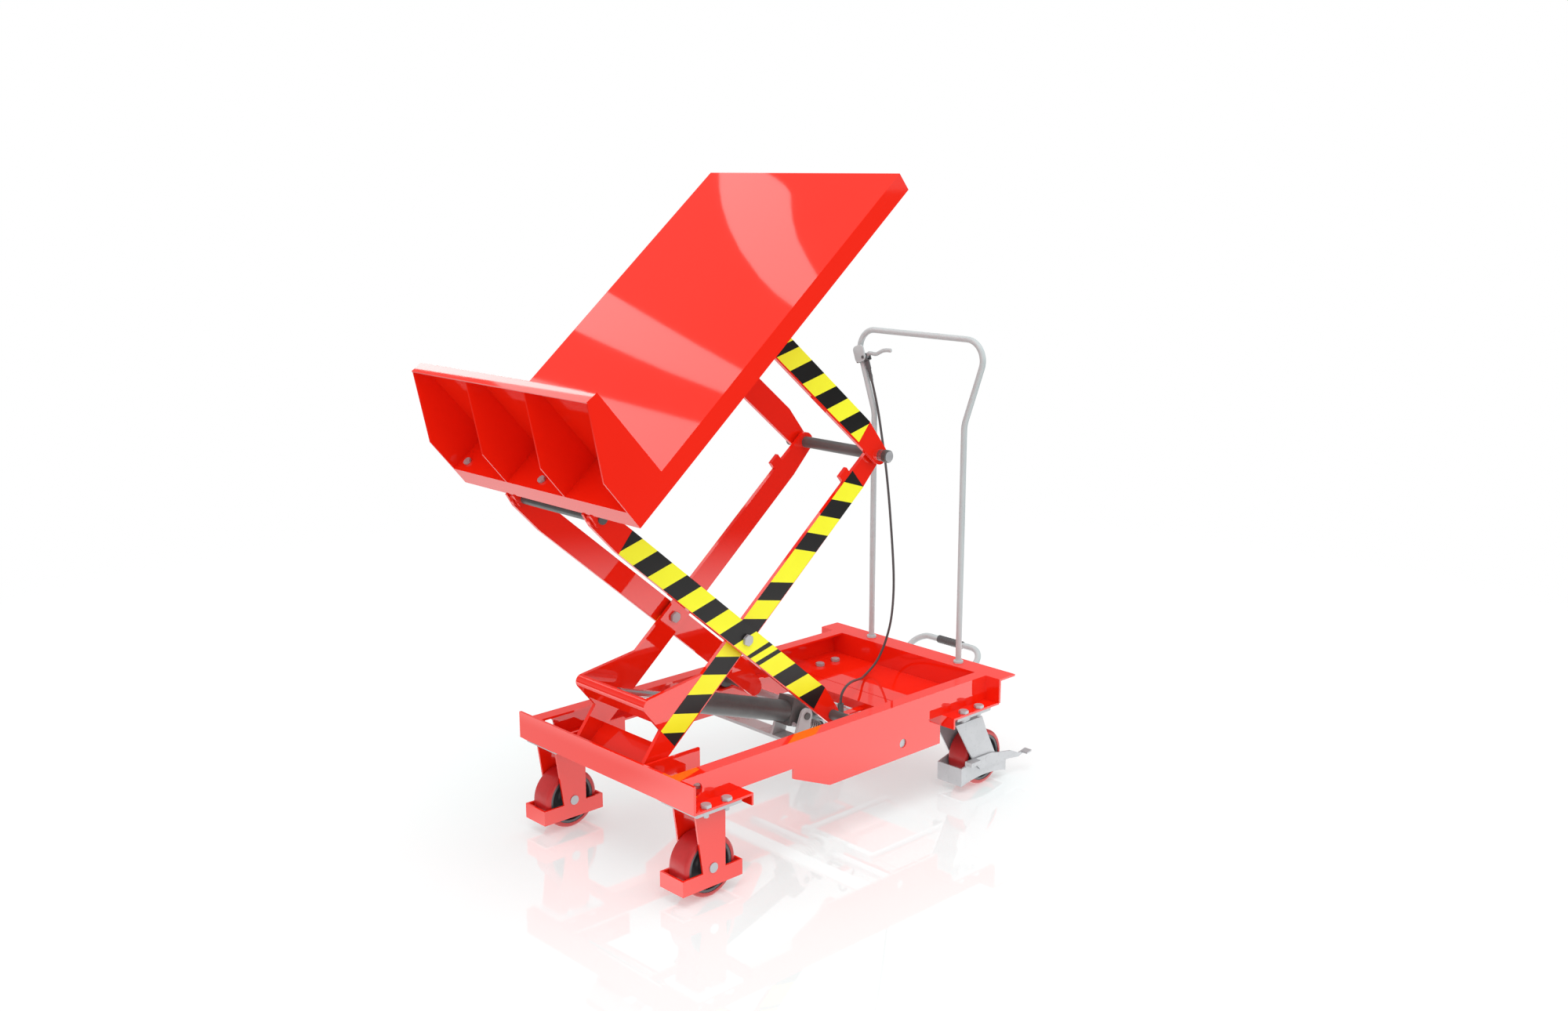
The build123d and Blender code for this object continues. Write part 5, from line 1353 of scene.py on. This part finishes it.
@dataclass
class PumpWork:
    """The pump's return spring and its valve screws.

    Attributes:
        pedal_pivot: Pivot of the foot pedal.
        up: Direction of the plunger, in degrees.
        offset: Distance of its line from the pedal's pivot.
        low: Lower end of the spring, from the plunger's foot.
        high: Its upper end.
        seat: Where the spring stands on the pump.
        cap: Where it starts on the plunger's cap.
        travel: How far the plunger can go in.
        coil: Radius of the coil's middle line.
        wire: Radius of the wire.
        turns: Turns of the coil, with a closed one at each end.
        steps: Steps in a turn.
        screws: Places of the valve screws in the side view.
        screw_face: Where they stand, to the right of the middle.
    """

    pedal_pivot: tuple[float, float] = (549.0, -79.0)
    up: float = 155.0
    offset: float = 24.0
    low: float = 5.45
    high: float = 60.55
    seat: float = 62.0
    cap: float = 4.0
    travel: float = 9.1
    coil: float = 10.25
    wire: float = 1.25
    turns: int = 10
    steps: int = 24
    screws: tuple[tuple[float, float], ...] = ((446.0, -66.0), (458.0, -72.0))
    screw_face: float = -21.0

    def wound(self) -> bpy.types.Object:
        """Winds the spring, with a closed turn at each end.

        Returns:
            The spring, its axis on the origin.
        """
        closed, pitch = 2.0 * self.wire, (self.high - self.low - 4.0 * self.wire) / (self.turns - 2)
        across, points = self.coil * MILLI, []
        for n in range(self.turns * self.steps + 1):
            turn = n / self.steps
            height = closed * min(turn, 1.0) + pitch * min(max(turn - 1.0, 0.0), self.turns - 2.0)
            height += closed * max(turn - self.turns + 1.0, 0.0)
            angle = 2.0 * math.pi * turn
            points.append((across * math.cos(angle), across * math.sin(angle), (self.low + height) * MILLI))
        return Bench.smoothed(Bench.meshed(Bench.strand("plunger_spring", points, self.wire, (3, 0))), 60.0)

    def spring(self) -> None:
        """Builds the spring."""
        foot = step_from(self.pedal_pivot, self.up, 0.0, self.offset)
        axis = Vector((math.cos(math.radians(self.up)), 0.0, math.sin(math.radians(self.up))))
        spring = Bench.settle(self.wound(), Bench.upright(at(foot[0], 0.0, foot[1]), axis))
        dressed(spring, [Coat.SPRING], "cylinder", ["return_spring"])
        seat = step_from(foot, self.up, self.seat, 0.0)
        kept = 1.0 - self.travel / (self.seat - self.cap)
        tuple(at(seat[0], 0.0, seat[1]))
        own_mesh(spring)

    def build(self) -> None:
        """Builds the spring and the screws."""
        self.spring()
        profile = [(4.5, 0.0), (4.5, 3.6), (4.1, 4.0), (3.0, 4.0), (3.0, 6.1), (2.6, 6.5)]
        places = [Bench.sideways(point, self.screw_face, -1) for point in self.screws]
        screws = Bench.scattered(Bench.turned("valve_screw", profile, 32), places, "valve_screw_set")
        dressed(Bench.smoothed(screws, 35.0), [Coat.ZINC], "cylinder", ["valve_screws"])


@dataclass
class PedalGrip:
    """The ribbed rubber sleeve on the pedal's bar.

    Attributes:
        radius: Radius over the ribs.
        bore: Radius of its bore.
        ribs: Number of grooves between the ribs.
        depth: Depth of a groove.
        margin: Plain length at each end.
    """

    radius: float = 8.5
    bore: float = 6.55
    ribs: int = 9
    depth: float = 0.7
    margin: float = 4.0

    def build(self) -> None:
        """Builds the sleeve where its node is."""
        low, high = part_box("pedal_grip")
        centre, length = (low + high) / 2, (high.y - low.y) / MILLI
        half, pitch, root = length / 2, (length - 2 * self.margin) / self.ribs, self.radius - self.depth
        outer = [(self.bore, -half), (self.radius - 1.2, -half), (self.radius, -half + 1.2)]
        for n in range(self.ribs):
            z = -half + self.margin + n * pitch
            outer += [(self.radius, z), (root, z + 0.5), (root, z + pitch - 3.2), (self.radius, z + pitch - 2.7)]
        outer += [(self.radius, half - 1.2), (self.radius - 1.2, half), (self.bore, half), (self.bore, -half)]
        sleeve = Bench.smoothed(Bench.turned("pedal_rubber", outer, 40, True), 40.0)
        Bench.settle(sleeve, Bench.upright(centre, Vector((0.0, 1.0, 0.0))))
        dressed(sleeve, [Coat.BLACK], "pedal", ["pedal_grip"])


# ---------------------------------------------------------------- studio


@dataclass
class Studio:
    """Camera, white floor, sky and lamps; none of it is part of the table.

    Attributes:
        lens: Focal length of the camera.
        camera_place: Where it stands, in metres.
        yaw: How far its aim is turned from straight across the table to the rear, in degrees.
        pitch: How far it looks down, in degrees.
        sky: Strength of the sky in reflections.
        low_sky: What is added to that near the horizon.
        fill: Strength of the sky as light.
        panel_light: Strength of the softboxes.
        card_light: Strength of the ledge's own card.
        floor_shine: Strength of the floor near the table, in reflections.
        floor_glow: Strength of the floor far from it, in reflections.
        floor_bounce: Strength of the light that the floor throws back.
        mirror: Colour of the floor's own reflection.
        mirror_roughness: Its roughness.
        matt: Colour of the floor's lit share, which takes the shadows.
        own_light: The floor's own light, which brings it to white.
        shadow_light: The same close to the table, where red light falls in the shadows.
        painted_shade_zone: Where the floor beyond the table starts to reflect darker and where it fully does, along the
            table and across it; this painted shade darkens the deck's front skirt in reflections.
        painted_shade_share: How much darker the painted shade is.
        painted_shadow_zone: Distances between which the floor under the table goes from dimmed to full in
            reflections; the dimming is a painted shadow.
        painted_shadow_share: Share of its strength that the painted shadow leaves under the table.
    """

    lens: float = 35.656
    camera_place: Point = (-1.9066, -2.0732, 1.2123)
    yaw: float = 43.55
    pitch: float = 12.30
    sky: float = 0.31
    low_sky: float = 0.25
    fill: float = 1.03
    panel_light: float = 1.75
    card_light: float = 5.0
    floor_shine: float = 2.2
    floor_glow: float = 0.1
    floor_bounce: float = 0.8
    mirror: float = 0.28
    mirror_roughness: float = 0.025
    matt: float = 0.50
    own_light: Colour = (0.27, 0.27, 0.27)
    shadow_light: Colour = (0.25, 0.31, 0.31)
    # painted shade: a darker patch in the floor's reflections, seen in the deck's front skirt
    painted_shade_zone: tuple[tuple[float, float], tuple[float, float]] = ((-0.76, -0.68), (0.10, 0.35))
    painted_shade_share: float = 0.51
    # painted shadow: the floor's reflections are dimmed under the table
    painted_shadow_zone: tuple[float, float] = (0.40, 0.80)
    painted_shadow_share: float = 0.72

    def camera(self) -> None:
        """Sets the camera."""
        data = bpy.data.cameras.new("camera")
        data.sensor_width = 36.0
        data.lens = self.lens
        data.clip_end = 200.0
        camera = bpy.data.objects.new("camera", data)
        camera.location = self.camera_place
        camera.rotation_euler = (math.radians(90.0 - self.pitch), 0.0, math.radians(-self.yaw))
        bpy.context.collection.objects.link(camera)
        bpy.context.scene.camera = camera

    def world(self) -> None:
        """Makes a plain sky that is white behind the table."""
        world = bpy.data.worlds.new("sky")
        world.use_nodes = True
        graph = Graph(world.node_tree)
        rays = graph.node("ShaderNodeLightPath")
        seen = Wire(graph, rays.outputs["Is Camera Ray"])
        mirrored = Wire(graph, rays.outputs["Is Glossy Ray"])
        aim = graph.wire("ShaderNodeTexCoord", output="Generated")
        height = Wire(graph, graph.node("ShaderNodeSeparateXYZ", None, {0: aim}).outputs["Z"])
        low = height.band(0.62, 0.12) * self.low_sky
        light = seen + (1.0 - seen) * (mirrored * (self.sky + low) + (1.0 - mirrored) * self.fill)
        inputs = {"Color": (1.0, 1.0, 1.0, 1.0), "Strength": light}
        graph.close(graph.node("ShaderNodeBackground", None, inputs), "ShaderNodeOutputWorld")
        bpy.context.scene.world = world

    def floor_shade(self, graph: Graph, near: Wire) -> Wire:
        """Gives how bright the floor is in reflections, from place to place: a painted shadow under the table and a
        painted darker patch beyond it.

        Args:
            graph: Graph of the floor.
            near: Distance from the table's middle.

        Returns:
            The share of the full strength.
        """
        place = graph.place()
        along, across = (
            Wire(graph, graph.node("ShaderNodeSeparateXYZ", None, {0: place}).outputs[axis]) for axis in ("X", "Y")
        )
        (left, right), (front, back) = self.painted_shade_zone
        # painted shade: a darker patch in the floor's reflections beyond the table, for the deck's front skirt
        shade = 1.0 - along.band(left, right) * across.band(front, back) * self.painted_shade_share
        # painted shadow: dims the floor's reflections under the table, in place of the table's own shadow
        return shade * (self.painted_shadow_share + near.band(*self.painted_shadow_zone) * (1.0 - self.painted_shadow_share))

    def floor(self) -> None:
        """Lays the floor: white, with a soft mirror that fades away from the table."""
        Bench.clear()
        bpy.ops.mesh.primitive_plane_add(size=120.0)
        floor = bpy.context.object
        floor.name = "studio_floor"
        made, graph = blank_material("floor_white")
        rays = graph.node("ShaderNodeLightPath")
        mirrored, seen = (Wire(graph, rays.outputs[f"Is {kind} Ray"]) for kind in ("Glossy", "Camera"))
        far, near = (
            graph.wire("ShaderNodeVectorMath", {"operation": "LENGTH"}, {0: graph.place(stretch)}, "Value")
            for stretch in ((1.0, 1.0, 1.0), (1.6, 1.0, 1.0))
        )
        glow = self.floor_glow + far.band(2.3, 1.1) * self.floor_shade(graph, near) * self.floor_shine
        shine = {"Color": (*[self.mirror] * 3, 1.0), "Roughness": self.mirror_roughness}
        mirror = graph.node("ShaderNodeBsdfGlossy", None, shine)
        matt = graph.node("ShaderNodeBsdfDiffuse", None, {"Color": (*[self.matt] * 3, 1.0)})
        own = graph.emission(1.0, graph.mixed(self.own_light, self.shadow_light, near.band(1.5, 0.5)))
        close_by = graph.node("ShaderNodeAddShader", None, {0: mirror, 1: matt})
        close_by = graph.node("ShaderNodeAddShader", None, {0: close_by, 1: own})
        inputs = {0: far.band(1.6, 2.8), 1: close_by, 2: graph.emission(1.0)}
        plain = graph.node("ShaderNodeMixShader", None, inputs)
        lit = graph.emission(mirrored * glow + (1.0 - mirrored) * self.floor_bounce)
        graph.close(graph.node("ShaderNodeMixShader", None, {0: seen, 1: lit, 2: plain}))
        floor.data.materials.append(made)

    def panel(self, name: str, origin: Vector, axes: tuple[Vector, Vector], outline: Sequence, light: float) -> None:
        """Hangs a softbox that only shows in reflections.

        Args:
            name: Name of the softbox.
            origin: Origin of its plane.
            axes: Directions of its plane.
            outline: Corners in metres, in its plane.
            light: Strength.
        """
        corners = [origin + axes[0] * a + axes[1] * b for a, b in outline]
        data = bpy.data.meshes.new(name)
        data.from_pydata(corners, [], [list(range(len(corners)))])
        panel = bpy.data.objects.new(name, data)
        bpy.context.collection.objects.link(panel)
        made, graph = blank_material(name)
        graph.close(graph.emission(light))
        data.materials.append(made)
        for ray in ("camera", "diffuse", "transmission", "shadow"):
            setattr(panel, f"visible_{ray}", False)

    def softboxes(self) -> None:
        """Hangs the softboxes over the deck and the narrow card over its ledge."""
        origin = Vector((-0.0993, 2.6158, 3.2452))
        axes = (Vector((0.99958, -0.02907, 0.0)), Vector((-0.01893, -0.65097, 0.75886)))
        arch = (
            (0.628, -0.004), (0.554, 0.007), (0.494, 0.017), (0.429, 0.036), (0.35, 0.075), (0.267, 0.133),
            (0.173, 0.225), (0.121, 0.295), (0.082, 0.368), (0.034, 0.481), (0.13, 0.561), (0.216, 0.446),
            (0.276, 0.398), (0.345, 0.348), (0.418, 0.317), (0.477, 0.302), (0.514, 0.296), (0.541, 0.272),
            (0.565, 0.23), (0.581, 0.189), (0.613, 0.099),
        )
        band = (
            (0.11, -0.55), (0.034, -0.365), (-0.042, -0.181), (-0.116, 0.0), (-0.193, 0.201), (-0.27, 0.4),
            (-0.35, 0.381), (-0.296, 0.145), (-0.242, -0.091), (-0.184, -0.301), (-0.132, -0.477), (-0.08, -0.653),
        )
        low = ((-0.33, -0.73), (-0.475, 0.46), (-0.95, 0.46), (-0.95, -0.73))
        for name, outline in (("softbox_arch", arch), ("softbox_band", band), ("softbox_low", low)):
            self.panel(name, origin, axes, outline, self.panel_light)
        flat = (Vector((1.0, 0.0, 0.0)), Vector((0.0, 1.0, 0.0)))
        card = ((-0.5145, -0.03), (-0.505, 0.64), (-0.5250, 0.64), (-0.5190, -0.03))
        self.panel("ledge_card", UP * 1.08, flat, card, self.card_light)

    def key(self) -> None:
        """Hangs the wide key lamp."""
        data = bpy.data.lights.new("key", "AREA")
        data.size = 4.0
        data.energy = 130.0
        key = bpy.data.objects.new("key", data)
        key.location = (-1.2, -1.4, 5.0)
        key.rotation_euler = (Vector((0.0, 0.0, 0.5)) - key.location).to_track_quat("-Z", "Y").to_euler()
        key.visible_glossy = False
        bpy.context.collection.objects.link(key)

    def build(self) -> None:
        """Builds the whole studio."""
        self.camera()
        self.world()
        self.floor()
        self.softboxes()
        self.key()
        bpy.context.scene.view_settings.view_transform = "Standard"


def main() -> None:
    """Builds everything in order."""
    logging.basicConfig(level=logging.INFO, format="%(name)s: %(message)s")
    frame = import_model()
    Studio().build()
    PlainParts(frame["nodes"], frame["record"]).dress()
    ReleaseLine().build()
    Wheels().build()
    BoltWork().build()
    HazardTapes().build()
    ElbowEnds().build()
    LeverWork().build()
    PumpWork().build()
    PedalGrip().build()


if __name__ == "__main__":
    main()
